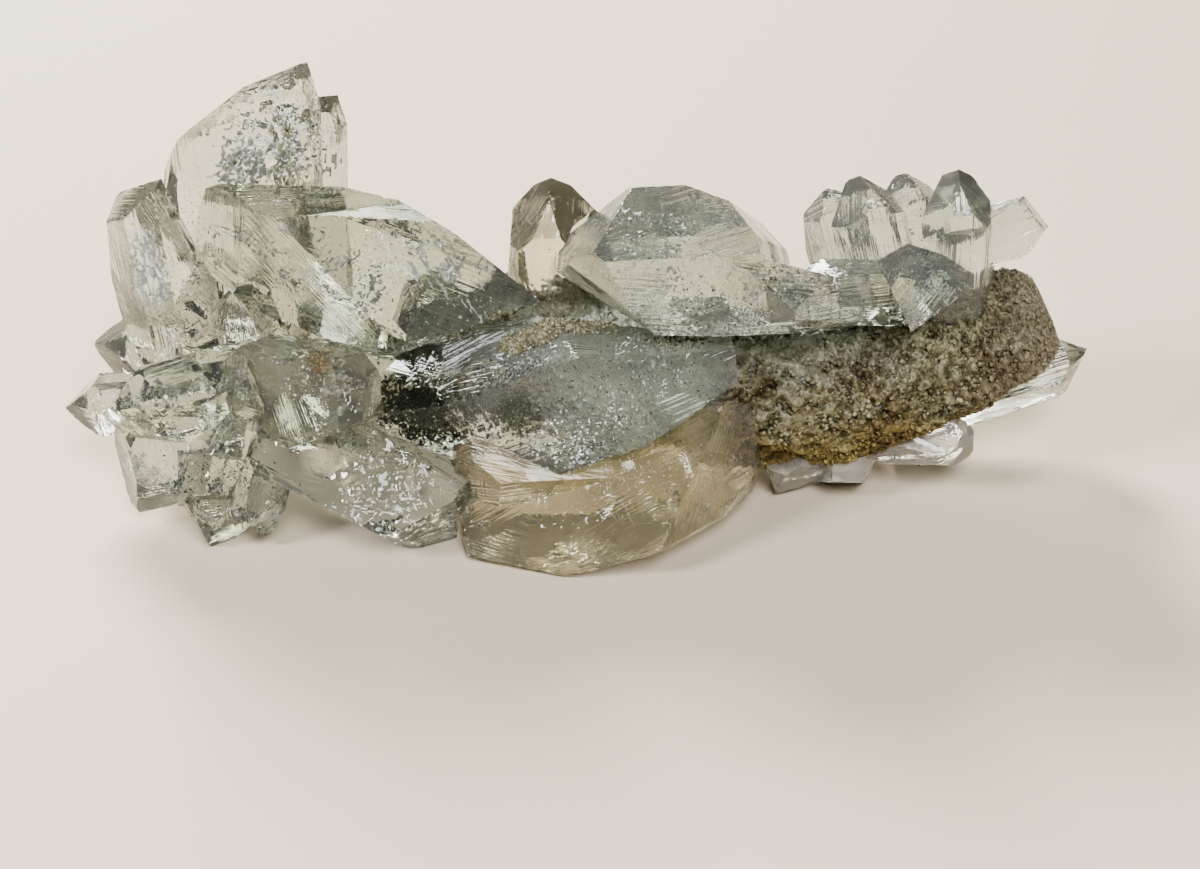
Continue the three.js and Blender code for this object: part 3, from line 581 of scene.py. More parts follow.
def quartz(name, clear=(0.985, 0.985, 0.97), cloudy=(0.84, 0.85, 0.82), transmission=0.95, frosted=0.64,
           lines=1.0, tint=(0.76, 0.785, 0.72), density=180.0, spots=(), hackled=()):
    """Quartz. clear and cloudy are its colours between the clouds and in them, frosted the level of the
    clouds above which a face turns matt, and lines how deep the growth lines are. tint and density, in 1/m,
    are the colour that thick glass goes to. Each spot is a middle and radius in mm and the colour that it
    gives the crystal there, and some spots are painted light. Each hackled patch is a middle and radius."""
    material = bpy.data.materials.new(name)
    nodes, links, shader = node_tree(material)
    grown = nodes.new("ShaderNodeGroup")
    grown.node_tree = growth

    def patch(middle, radius, mask="Mask"):
        """A round patch's mask, from its middle and radius in mm."""
        where = nodes.new("ShaderNodeGroup")
        where.node_tree = spot
        where.inputs["Centre"].default_value = tuple(value * MM for value in middle)
        where.inputs["Radius"].default_value = radius * MM
        return where.outputs[mask]

    # A hackled patch stands out 2.5 times as far as the growth lines do.
    relief = grown.outputs["Relief"]
    if hackled:
        pits = nodes.new("ShaderNodeGroup")
        pits.node_tree = hackle
        for middle, radius in hackled:
            deep = number(nodes, links, "MULTIPLY", pits.outputs["Relief"], patch(middle, radius, "Soft"))
            relief = number(nodes, links, "MULTIPLY_ADD", deep, 2.5, relief)
    bump = nodes.new("ShaderNodeBump")
    bump.inputs["Distance"].default_value = 0.2 * lines * MM
    links.new(relief, bump.inputs["Height"])
    links.new(bump.outputs["Normal"], shader.inputs["Normal"])
    colour = ramp(nodes, links, grown.outputs["Cloud"], [(0.42, clear), (0.76, cloudy)])
    # some spots are painted light: shade, a highlight and an iridescent sheen, as marked where they are
    # listed
    for middle, radius, stain_and_painted_light in spots:
        colour = blend(nodes, links, patch(middle, radius), colour, stain_and_painted_light)
    dust = number(nodes, links, "MULTIPLY", grown.outputs["Lines"], 0.3)
    colour = blend(nodes, links, dust, colour, (0.62, 0.62, 0.56))
    links.new(colour, shader.inputs["Base Color"])
    rough = between(nodes, links, grown.outputs["Cloud"], frosted - 0.1, frosted + 0.1, 0.0, MATT)
    worn = number(nodes, links, "MULTIPLY", grown.outputs["Edge"], 0.2)
    links.new(number(nodes, links, "ADD", rough, worn), shader.inputs["Roughness"])
    shader.inputs["Transmission Weight"].default_value = transmission
    shader.inputs["IOR"].default_value = 1.544
    absorb = nodes.new("ShaderNodeVolumeAbsorption")
    absorb.inputs["Color"].default_value = (*tint, 1)
    absorb.inputs["Density"].default_value = density
    links.new(absorb.outputs["Volume"], nodes["Material Output"].inputs["Volume"])
    return material


clear_quartz = quartz("quartz_clear", transmission=0.94, lines=1.2, spots=[
    ((-21.2, -10.1, 18.7), 1.3, (0.72, 0.56, 0.38)),
    # painted light: a pink-red iridescent sheen, painted into the glass
    ((-33.8, -9.8, 3.0), 1.4, (0.9, 0.3, 0.26)),
], hackled=[((-25.4, 3.2, 31.4), 6.4), ((-16.6, -10.8, 6.8), 5.2)])
milky_quartz = quartz("quartz_milky", clear=(0.965, 0.965, 0.95), cloudy=(0.88, 0.885, 0.87),
                      transmission=0.9, frosted=0.58, lines=1.2, spots=[
    ((28.3, -5.4, 24.0), 2.6, (0.66, 0.75, 0.8)),
    # painted highlight: whiter glass where the ridge sparkles
    ((20.6, -4.2, 23.1), 1.6, (1.0, 1.0, 1.0)),
])
warm_quartz = quartz("quartz_warm", clear=(0.985, 0.975, 0.94), tint=(0.88, 0.845, 0.68), density=110)
# The blade's warm, yellow glass is partly its own colour and partly painted light: the yellow of the floor
# seen through it.
blade_quartz = quartz("quartz_blade", clear=(0.985, 0.965, 0.9), cloudy=(0.93, 0.9, 0.8), transmission=0.93,
                      lines=1.7, tint=(0.9, 0.83, 0.5), density=100)
# The foot's quartz is milkier, paler and warmer than the rest: partly its own milkiness, partly painted light
# standing in for the backlight and the yellow floor light that pass through it.
foot_milk_and_painted_light = quartz("quartz_foot", clear=(0.99, 0.98, 0.94), cloudy=(0.96, 0.94, 0.88), transmission=0.72,
                     tint=(0.9, 0.85, 0.62), density=60)
green_quartz = quartz("quartz_green", clear=(0.95, 0.965, 0.93), cloudy=(0.8, 0.83, 0.78), transmission=0.9,
                      lines=1.5, tint=(0.78, 0.81, 0.73), density=95, spots=[
    # painted shade: the phantom's dark end, darkened as a crystal in shadow
    ((-13.6, -5.0, 11.0), 6.0, (0.25, 0.28, 0.21)),
    ((-5.4, -8.6, 12.4), 2.6, (0.4, 0.44, 0.36)),
], hackled=[((-0.8, -9.4, 11.0), 4.4)])

# Each piece with its CAD node, its finish, how many pits it has, and its seed.
quartz_pieces = [
    crystals("phantom_quartz", "phantom_crystals", green_quartz, 60, 1),
    crystals("lower_blade_quartz", "lower_blade", blade_quartz, 60, 2),
    crystals("left_cluster_quartz", "left_cluster", clear_quartz, 160, 3),
    crystals("ridge_quartz", "ridge_crystals", milky_quartz, 90, 4),
    crystals("single_point_quartz", "single_point", warm_quartz, 20, 5),
    crystals("foot_quartz", "foot_crystals", foot_milk_and_painted_light, 20, 6),
    crystals("tail_quartz", "tail_crystal", clear_quartz, 15, 7),
    crystals("back_fan_quartz", "back_fan", clear_quartz, 25, 8),
    crystals("back_foot_quartz", "back_foot", clear_quartz, 25, 9),
]

# ---------------------------------------------------------------- second growth on the crystals
# Later, smaller growth on the big faces. Where the phantom meets the crystals above it, its top edge has
# a line of the same chloritic druse as the core: stubby six-sided points that stand on the faces.

# How deep these points stand in their face, in radii.
GROWTH_SUNK = 0.3


def on_faces(node, middle, reach, count, rng):
    """Random places on a node's faces within an oval round a middle, thickest there, and the faces'
    directions. For each place wanted, 400 are drawn over the whole node, evenly by area."""
    points, corners, _ = facets(node)
    ends = points[corners]
    across = np.cross(ends[:, 1] - ends[:, 0], ends[:, 2] - ends[:, 0])
    area = np.linalg.norm(across, axis=1)
    face = rng.choice(len(area), 400 * count, p=area / area.sum())
    split = np.sort(rng.random((len(face), 2)), axis=1)
    shares = np.stack([split[:, 0], split[:, 1] - split[:, 0], 1 - split[:, 1]], axis=-1)
    place = (ends[face] * shares[:, :, None]).sum(1)
    off = (((place - np.array(middle)) / np.array(reach)) ** 2).sum(1)
    kept = np.flatnonzero(rng.random(len(place)) < np.clip(1.6 * (1 - off), 0, 1))[:count]
    return place[kept], unit(across)[face[kept]]


def second_growth(name, finish, stray, tall, cap, patches, seed):
    """One piece of stubby points on crystal faces, as stubby_points makes them. Each patch is a node, a
    middle and reach in mm, a count and the smallest and largest radius."""
    rng = np.random.default_rng(seed)
    places, ways, sizes = [], [], []
    for node, middle, reach, count, smallest, largest in patches:
        place, outward = on_faces(node, middle, reach, count, rng)
        places.append(place)
        ways.append(outward)
        sizes.append(smallest * (largest / smallest) ** rng.random(len(place)))
    radius = np.concatenate(sizes)
    piece = shaded_piece(name, *stubby_points(
        np.concatenate(places), np.concatenate(ways), stray, radius,
        tall * rng.uniform(0.6, 1.4, len(radius)), cap, GROWTH_SUNK, rng))
    piece.data.materials.append(finish)


FAN = "left_cluster"
PHANTOM = "phantom_crystals"
RIDGE = "ridge_crystals"
seam_finish = chlorite_crust("crust_seam", (0.075, 0.066, 0.04), 0.0)
second_growth("seam_druse", seam_finish, 0.55, 0.7, 0.8, [
    (PHANTOM, (-4.4, -4.4, 17.6), (5.8, 1.5, 1.8), 620, 0.08, 0.22),
    (PHANTOM, (0.6, -4.4, 18.6), (3.0, 1.2, 1.0), 160, 0.08, 0.2),
    (FAN, (-6.2, -2.4, 18.2), (3.0, 1.4, 1.0), 160, 0.1, 0.24),
    (PHANTOM, (7.6, -5.6, 18.0), (3.2, 1.6, 0.7), 110, 0.07, 0.16),
    (FAN, (-9.8, -3.2, 16.8), (1.8, 1.4, 0.9), 80, 0.08, 0.18),
], 42)

# ---------------------------------------------------------------- cracks, veils and stains in the quartz
# Open cracks shine like silver foil, healed ones are white veils of bubbles, and a few have let iron in and
# gone rust brown. Worn and etched faces are frosted white. Each is a sheet a few hundredths of a mm thick.

# The sheets' grid inside a crystal and on a face, and their thickness, in mm.
SHEET_CELL = 0.14
NET_CELL = 0.09
SHEET_THICKNESS = 0.03
# Sheets thin out over this share of their reach, and what is less whole than SHEET_LEAST isn't there at all.
SHEET_RIM = 0.35
SHEET_LEAST = 0.2
# How far behind a face's frosting its crystal has to be, in mm.
PROUD = 0.3


def inside(points, node):
    """Whether each point lies in a CAD node's solid: a ray from it crosses the skin an odd number of
    times. It takes some 1500 points at a time, to spare memory."""
    corners, faces, _ = facets(node)
    a, b, c = (corners[faces[:, i]] for i in range(3))
    ray = np.array([0.017, 0.031, 0.999])
    within = np.zeros(len(points), bool)
    side = np.cross(ray, c - a)
    scale = 1 / ((b - a) * side).sum(1)
    for chunk in np.array_split(np.arange(len(points)), max(1, len(points) // 1500)):
        off = points[chunk][:, None] - a[None]
        u = (off * side).sum(-1) * scale
        turned = np.cross(off, (b - a)[None])
        v = (turned @ ray) * scale
        ahead = (turned * (c - a)).sum(-1) * scale
        within[chunk] = ((u >= 0) & (v >= 0) & (u + v <= 1) & (ahead > 0)).sum(1) % 2 == 1
    return within


def crumpled_sheet(node, middle, facing, upward, wide, high, bend=0.0, crumple=0.12, drawn=1, whole=0.6,
                   finest=2.2, proud=0.0, seed=1):
    """A grid of points spread over wide x high mm round its middle, square to facing, with the long way
    along upward: out = bend x across squared + crumple x noise. Returns the points, the grid's faces, the
    cell and how whole the sheet is at each point: noise round whole that fades to 0 at a ragged oval, and 0
    outside the crystal. The noise is drawn out along the sheet by a factor. A sheet that lies on a face is
    proud: the crystal has to be that many mm behind it, and it is a net that follows the noise's zeros."""
    cell = min(NET_CELL if proud else SHEET_CELL, wide / 9)
    columns, rows = round(wide / cell), round(high / cell)
    facing = unit(np.array([facing], float))
    across = unit(np.cross(np.array([upward], float), facing))
    over = np.cross(facing, across)
    x, y = np.meshgrid(np.linspace(-1, 1, columns), np.linspace(-1, 1, rows))
    out = bend * (x * wide / 2) ** 2 + crumple * band_noise(rows, columns, 3, 16, seed)
    points = (np.array(middle) + (x * wide / 2).reshape(-1, 1) * across + (y * high / 2).reshape(-1, 1) * over
              + out.reshape(-1, 1) * facing)
    reach = np.hypot(x, y) + 0.12 * band_noise(rows, columns, 4, 30, seed + 50)
    fade = np.clip((1 - reach) / SHEET_RIM, 0, 1)
    relief = band_noise(rows, columns, finest, 20, seed + 90, drawn)
    wisps = whole + (0.5 - 0.8 * np.abs(relief) if proud else 0.3 * relief)
    kept = (np.clip(wisps, 0, 1) * fade).ravel()
    worth = np.flatnonzero(kept > SHEET_LEAST)
    kept[worth] *= inside(points[worth] - proud * facing, node)
    kept[kept <= SHEET_LEAST] = 0
    grid = np.arange(rows * columns).reshape(rows, columns)
    quads = np.stack([grid[:-1, :-1], grid[:-1, 1:], grid[1:, 1:], grid[1:, :-1]], axis=-1).reshape(-1, 4)
    return points, quads, cell, kept


def sheets(name, finish, places, at_least=0.42):
    """One piece of all the cracks of a kind: of each sheet what is whole enough is kept, and given a
    thickness. A place is a node, a middle in mm, the ways it faces and goes up, its width and height in mm,
    and what else crumpled_sheet is told."""
    points, faces, count = [], [], 0
    for number_of, place in enumerate(places):
        grid, quads, cell, whole = crumpled_sheet(*place[:6], **place[6], seed=7 * number_of + len(name))
        points.append(grid)
        faces.append(quads[(whole[quads] > at_least).all(1)] + count)
        count += len(grid)
    points, faces = np.concatenate(points), np.concatenate(faces)
    used, renumbered = np.unique(faces, return_inverse=True)
    piece = mesh_piece(name, points[used], renumbered.reshape(-1, 4).tolist())
    piece.data.shade_smooth()
    thick = piece.modifiers.new("thickness", "SOLIDIFY")
    thick.thickness = SHEET_THICKNESS * MM
    piece.data.materials.append(finish)
    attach(piece, "root")


def inner_finish(name, colour, roughness, metallic=0.0, wrinkle=0.0):
    """What lies inside a crystal: lighter and darker from place to place, and wrinkled by so many mm."""
    material = bpy.data.materials.new(name)
    nodes, links, shader = node_tree(material)
    place = nodes.new("ShaderNodeTexCoord").outputs["Object"]
    mottle = noise(nodes, links, place, 1100, 3, 0.7)
    links.new(ramp(nodes, links, mottle, [(0.35, colour[0]), (0.65, colour[1])]), shader.inputs["Base Color"])
    shader.inputs["Roughness"].default_value = roughness
    shader.inputs["Metallic"].default_value = metallic
    if wrinkle:
        bump = nodes.new("ShaderNodeBump")
        bump.inputs["Distance"].default_value = wrinkle * MM
        links.new(mottle, bump.inputs["Height"])
        links.new(bump.outputs["Normal"], shader.inputs["Normal"])
    return material


silver = inner_finish("open_crack", ((0.8, 0.82, 0.83), (0.98, 0.98, 0.98)), 0.3, 0.75, 0.12)
rust = inner_finish("iron_stain", ((0.16, 0.08, 0.03), (0.42, 0.25, 0.11)), 0.6)
frost = inner_finish("frosting", ((0.6, 0.62, 0.63), (0.93, 0.94, 0.93)), 0.28, 0.0, 0.15)


def flaws(seed, *counts):
    """Small cracks at random places inside crystals, at random slants, 0.9 to 2.9 mm wide. Each ends where
    its crystal does. For each crack, 12 places are drawn in the node's box."""
    rng = np.random.default_rng(seed)
    found = []
    for node, count in counts:
        points = facets(node)[0]
        low, high = points.min(0), points.max(0)
        places = rng.uniform(low, high, (count * 12, 3))
        places = places[inside(places, node)][:count]
        for place in places:
            facing = rng.normal(0, 1, 3) + (0, -0.9, 0.5)
            size = 0.9 * 3.2 ** rng.random()
            found.append((node, place, facing, rng.normal(0, 1, 3), size, size * rng.uniform(1.0, 2.4),
                          {"crumple": 0.14}))
    return found


ALL_FLAWS = ((FAN, 60), (PHANTOM, 16), (RIDGE, 34), ("lower_blade", 12), ("single_point", 4),
             ("foot_crystals", 2), ("tail_crystal", 6), ("back_fan", 9), ("back_foot", 8))
sheets("open_cracks", silver, flaws(31, *ALL_FLAWS) + [
    # the shattered zone of the peak
    (FAN, (-25.6, 5.2, 31.0), (0.07, -0.95, 0.3), (0.2, 0, 1), 10.0, 9.0,
     {"crumple": 0.25, "whole": 0.4, "finest": 4}),
    (FAN, (-28.6, 5.4, 28.2), (0.05, -0.92, 0.39), (1, 0, 0.8), 4.5, 6.5, {"crumple": 0.15, "whole": 0.7}),
    # the sparkle at the crest's edge, and the crease under its corner
    (FAN, (-17.6, -2.6, 21.0), (0.3, -0.9, 0.3), (0.5, 0.2, 1), 3.0, 7.0, {"crumple": 0.3}),
    (FAN, (-25.6, -1.4, 24.4), (0.4, -0.6, 0.7), (1, 0, 0.35), 2.2, 6.5, {"crumple": 0.15}),
    (FAN, (-24.2, -1.6, 21.2), (-0.2, -1, 0.5), (0.3, 0, 1), 3.6, 4.2, {"crumple": 0.25}),
    # beside the stain, and in the glassy prisms at the left
    (FAN, (-19.7, -9.2, 17.2), (0.5, -0.8, 0.3), (0.1, 0, 1), 2.0, 4.2, {"crumple": 0.2}),
    (FAN, (-34.6, -6.4, 12.6), (0.2, -1, 0.3), (0.1, 0, 1), 2.6, 3.6, {"crumple": 0.25}),
    (FAN, (-37.2, -6.2, 12.2), (-0.5, -1, 0.2), (0.1, 0, 1), 1.4, 4.0, {"crumple": 0.2}),
    (FAN, (-28.4, -5.8, 15.0), (0.3, -1, 0.1), (0, 0, 1), 1.6, 5.0, {"crumple": 0.25}),
    # the bright window and the sparkling foot of the phantom's clear end
    (PHANTOM, (-2.4, -8.2, 12.6), (0.2, -1, 0.2), (1, 0, -0.3), 4.4, 7.4, {"crumple": 0.45}),
    (PHANTOM, (0.6, -8.6, 8.8), (0.1, -0.8, -0.3), (1, 0, 0.3), 3.2, 7.0, {"crumple": 0.35}),
    (PHANTOM, (-3.4, -5.6, 16.2), (-0.4, -0.4, 0.9), (1, 0, 0.35), 1.8, 8.0, {"crumple": 0.15}),
    # the white spots of the ridge
    (RIDGE, (20.4, -3.2, 22.9), (0.4, -0.7, 0.6), (0, 0, 1), 2.2, 1.4, {"crumple": 0.2}),
    (RIDGE, (13.6, -7.0, 24.0), (-0.3, -0.9, 0.2), (0, 0, 1), 2.6, 3.4, {"crumple": 0.25}),
])
LINED = {"crumple": 0.04, "drawn": 7}
sheets("lined_cracks", silver, [
    (FAN, (-35.9, -1.3, 21.6), (0.02, -0.94, 0.34), (-0.12, 0, 1), 3.6, 12.0, {**LINED, "whole": 0.8}),
    (FAN, (-21.3, 8.6, 27.6), (0, -1, 0.1), (0.1, 0, 1), 2.4, 5.0, LINED),
    (FAN, (-12.2, -1.2, 22.6), (0.2, -0.9, 0.35), (-0.5, 0, 1), 6.0, 6.5, LINED),
    (FAN, (-28.2, 4.8, 29.2), (0.05, -0.92, 0.39), (0.6, 0, 1), 5.5, 5.0, {**LINED, "whole": 0.75}),
], 0.5)


def face_net(whole, drawn=7, finest=2.2):
    """A net of frosting that lies flat on a face, drawn out along the sheet by a factor."""
    return {"whole": whole, "drawn": drawn, "finest": finest, "crumple": 0.01, "proud": PROUD}


sheets("frosted_faces", frost, [
    # the white net and the lined patch on the peak, and the point behind it
    (FAN, (-25.0, 4.13, 32.0), (0, -1, 0.08), (0.25, 0, 1), 9.5, 10.0,
     {**face_net(0.2, 1, 7), "crumple": 0.05}),
    (FAN, (-28.4, 3.88, 29.0), (0, -1, 0.08), (0.6, 0, 1), 5.0, 4.6, face_net(0.24)),
    (FAN, (-21.0, 7.75, 29.5), (-0.01, -1, 0.12), (0.1, 0, 1), 2.2, 4.0, face_net(0.12)),
    # the bright face of the upright prism
    (FAN, (-35.8, -2.04, 22.9), (0.21, -0.97, 0.08), (-0.24, 0.2, 0.96), 3.6, 10.0, face_net(0.3)),
    (FAN, (-34.6, -3.54, 17.6), (-0.45, -0.89, 0), (-0.24, 0.1, 0.96), 2.4, 4.4, face_net(0.24)),
    # the crest
    (FAN, (-22.4, -3.2, 22.3), (-0.41, -0.9, -0.17), (0.4, 0, 1), 5.0, 5.4, face_net(0.16, 3)),
    (FAN, (-15.2, -2.76, 23.8), (0.2, -0.91, 0.35), (-0.5, 0, 1), 7.0, 8.0, face_net(0.14)),
    (FAN, (-9.8, -2.9, 19.9), (0.2, -0.91, 0.35), (-0.6, 0, 1), 5.0, 7.0, face_net(0.14)),
    # the stained crystal and the blade below it
    (FAN, (-21.2, -10.13, 17.2), (-0.35, -0.93, 0.1), (0.2, 0, 1), 2.4, 3.4, face_net(0.16)),
    (FAN, (-18.9, -10.45, 15.3), (0.45, -0.89, 0.1), (0.1, 0, 1), 2.2, 4.4, face_net(0.16)),
    (FAN, (-16.6, -12.25, 4.9), (-0.13, -0.76, 0.63), (1, 0.1, -0.3), 3.4, 12.0, face_net(0.12, 9)),
    # the phantom's bright window, its worn edge and its sparkling foot
    (PHANTOM, (-13.74, -4.66, 14.45), (-0.32, -0.67, 0.67), (0.6, 0, 0.7), 4.2, 4.6, face_net(0.35)),
    (PHANTOM, (-5.6, -6.3, 16.28), (-0.43, -0.31, 0.85), (1, -0.1, 0.46), 4.2, 12.0, face_net(0.16, 4)),
    (PHANTOM, (-8.2, -7.3, 14.66), (-0.35, -0.7, 0.6), (5.9, -0.9, 2.6), 0.34, 6.6, face_net(0.3, 3)),
    (PHANTOM, (-3.1, -7.6, 17.1), (-0.35, -0.7, 0.6), (4.2, 0.3, 2.3), 0.34, 5.2, face_net(0.3, 3)),
    (PHANTOM, (0.6, -9.98, 10.4), (-0.16, -0.97, 0.16), (1, 0, 0.3), 4.4, 7.4,
     {**face_net(0.18, 1, 4), "crumple": 0.03}),
    (PHANTOM, (6.6, -8.8, 16.2), (0.23, -0.89, 0.4), (-0.1, 0, 1), 6.0, 6.0, face_net(0.16, 4)),
    (PHANTOM, (2.2, -9.75, 13.4), (-0.16, -0.97, 0.16), (-0.2, 0, 1), 6.0, 6.6, face_net(0.16, 3)),
    (PHANTOM, (3.4, -7.2, 18.2), (0.04, -0.11, 0.99), (0.9, 1, 0), 4.6, 9.0, face_net(0.14, 5)),
    (FAN, (-15.4, -11.3, 6.28), (-0.13, -0.76, 0.63), (1, 0.1, 0.3), 4.0, 8.0, face_net(0.14, 5)),
    # the long blade and the big crystal of the ridge
    ("lower_blade", (0.6, -11.3, 5.0), (-0.17, -0.76, 0.63), (1, 0.1, 0.25), 4.0, 14.0, face_net(0.05, 9)),
    (RIDGE, (5.4, -7.46, 25.6), (0.11, -0.99, 0.09), (0.3, 0, 1), 6.0, 6.0, face_net(0.1, 1)),
    (RIDGE, (5.5, -5.0, 27.97), (0.05, -0.42, 0.91), (1, 0.1, 0), 7.0, 11.0, face_net(0.12, 3)),
], 0.3)
second_growth("glints", frost, 0.4, 0.3, 0.6, [
    (FAN, (-25.0, 4.3, 32.2), (4.6, 1.6, 4.8), 70, 0.05, 0.2),
    (PHANTOM, (-1.4, -9.2, 9.8), (4.2, 1.6, 2.6), 90, 0.05, 0.16),
    (PHANTOM, (3.4, -8.4, 12.6), (5.4, 2.0, 4.4), 60, 0.04, 0.1),
    (FAN, (-13.6, -0.6, 25.2), (3.2, 2.0, 2.6), 40, 0.04, 0.12),
    (FAN, (-22.4, -9.4, 15.4), (3.4, 2.0, 4.4), 40, 0.04, 0.12),
    (FAN, (-32.0, -8.2, 9.0), (6.4, 3.0, 4.4), 70, 0.04, 0.12),
    (RIDGE, (8.0, -7.2, 24.6), (7.4, 1.6, 4.4), 90, 0.04, 0.1),
    (RIDGE, (20.4, -3.6, 22.8), (1.5, 1.6, 0.7), 36, 0.05, 0.14),
    ("lower_blade", (6.0, -9.8, 7.0), (9.0, 3.0, 3.8), 70, 0.04, 0.1),
], 43)
sheets("iron_stains", rust, [
    (FAN, (-21.2, -9.2, 18.0), (-0.2, -0.9, 0.4), (0.4, 0, 1), 1.5, 2.6, {"crumple": 0.2}),
    (FAN, (-31.8, -8.6, 13.0), (0.3, -1, 0), (0, 0, 1), 1.0, 1.8, {"crumple": 0.15}),
    (PHANTOM, (-4.6, -7.4, 14.6), (0, -0.8, 0.6), (1, 0, 0.3), 1.6, 3.6, {"crumple": 0.15}),
])
VEILS = flaws(32, *ALL_FLAWS) + [
    (FAN, (-22.6, -1.8, 21.6), (-0.2, -0.9, 0.2), (0.4, 0, 1), 8.0, 7.0, {"bend": 0.03}),
    (FAN, (-26.4, -1.8, 26.6), (-0.4, -0.9, 0), (0, 0, 1), 4.0, 4.6, {"bend": 0.02}),
    (FAN, (-15.6, -2.0, 23.4), (0.2, -0.9, 0.35), (-0.4, 0, 1), 5.0, 8.0, {"bend": 0.02}),
    (FAN, (-32.6, 5.8, 22.6), (-0.4, -0.9, 0), (0, 0, 1), 5.5, 12.0, {"bend": 0.03}),
    (FAN, (-35.2, -0.6, 18.0), (0.2, -0.9, 0), (0, 0, 1), 4.0, 12.0, {"bend": 0.03}),
    (FAN, (-22.0, -8.2, 16.4), (0, -1, 0.2), (0, 0, 1), 6.0, 6.0, {"bend": 0.04}),
    (FAN, (-17.0, -8.6, 6.8), (-0.1, -0.8, 0.6), (1, 0, -0.4), 5.0, 13.0, {"bend": 0.01}),
    (PHANTOM, (4.0, -8.0, 14.6), (-0.1, -1, 0.2), (0.2, 0, 1), 7.5, 9.0, {"bend": 0.03}),
    (PHANTOM, (7.2, -6.6, 14.6), (0.3, -0.9, 0.4), (0.3, 0, 1), 5.0, 8.0, {"bend": 0.05}),
    (PHANTOM, (0.8, -7.6, 11.4), (0, -1, 0.3), (1, 0, 0.1), 6.5, 10.0, {"bend": 0.03}),
    (RIDGE, (7.0, -5.4, 24.0), (0.1, -1, 0.2), (1, 0, 0), 7.0, 12.0, {"bend": 0.02}),
    (RIDGE, (9.0, -2.4, 26.0), (0, -0.6, 0.8), (1, 0, 0), 7.0, 11.0, {"bend": 0.02}),
    (RIDGE, (24.4, 3.4, 22.4), (0, -0.9, 0.3), (0.2, 0, 1), 7.0, 6.0, {"bend": 0.04}),
    (RIDGE, (28.0, -3.6, 23.0), (0.2, -0.9, 0.3), (0.3, 0, 1), 5.0, 4.6, {"bend": 0.03}),
    ("lower_blade", (0.4, -9.6, 5.6), (-0.2, -0.7, 0.6), (1, 0, 0.2), 5.0, 15.0, {"bend": 0.01}),
]

# ---------------------------------------------------------------- flakes and bubbles in the quartz
# Flakes of green-black chlorite, up to a third of a millimetre across, thick in the phantom's dark end,
# where they settled while it grew; so thick a cloud there also darkens that end as painted shade. White
# veils are old cracks that healed and kept sheets of tiny bubbles.

# One flake's four corners and two tips, in shares of its size.
FLAKE = np.array([[1, 0, 0], [0.2, 0.9, 0], [-0.9, 0.3, 0], [-0.4, -0.8, 0], [0.1, 0, 0.28], [0, 0.1, -0.28]])
FLAKE_FACES = np.array([[i, (i + 1) % 4, 4] for i in range(4)] + [[(i + 1) % 4, i, 5] for i in range(4)])


def flakes(name, finish, place, size, rng):
    """A flat little double pyramid at each place in mm, of its own size and turned at random."""
    ahead = unit(rng.standard_normal((len(place), 3)))
    side = unit(np.cross(ahead, rng.standard_normal((len(place), 3))))
    turned = np.stack([ahead, side, np.cross(ahead, side)], axis=1)
    points = place[:, None] + np.einsum("ki,nij->nkj", FLAKE, turned) * size[:, None, None]
    faces = FLAKE_FACES[None] + (len(FLAKE) * np.arange(len(place)))[:, None, None]
    piece = mesh_piece(name, points.reshape(-1, 3), faces.reshape(-1, 3).tolist())
    piece.data.materials.append(finish)
    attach(piece, "root")


def clouds_of(rng, clouds):
    """Places in clouds, each an oval round a middle, thickest there, that keeps what is inside its crystal.
    Each is a node, a middle and reach in mm, a count and the smallest and largest size, between which sizes
    are spread evenly on a log scale."""
    places, sizes = [], []
    for node, middle, reach, count, smallest, largest in clouds:
        place = np.array(middle) + rng.normal(0, 0.5, (count, 3)) * np.array(reach)
        size = smallest * (largest / smallest) ** rng.random(count)
        kept = inside(place, node)
        places.append(place[kept])
        sizes.append(size[kept])
    return np.concatenate(places), np.concatenate(sizes)


def veils_of(rng, veils, share):
    """Places spread over crumpled sheets: each grid point has one with a chance of share x how whole the
    sheet is."""
    places = []
    for number_of, veil in enumerate(veils):
        grid, _, cell, whole = crumpled_sheet(*veil[:6], **veil[6], seed=300 + 7 * number_of)
        kept = rng.random(len(grid)) < share * whole ** 2
        places.append(grid[kept] + rng.normal(0, 0.4 * cell, (kept.sum(), 3)))
    return np.concatenate(places)


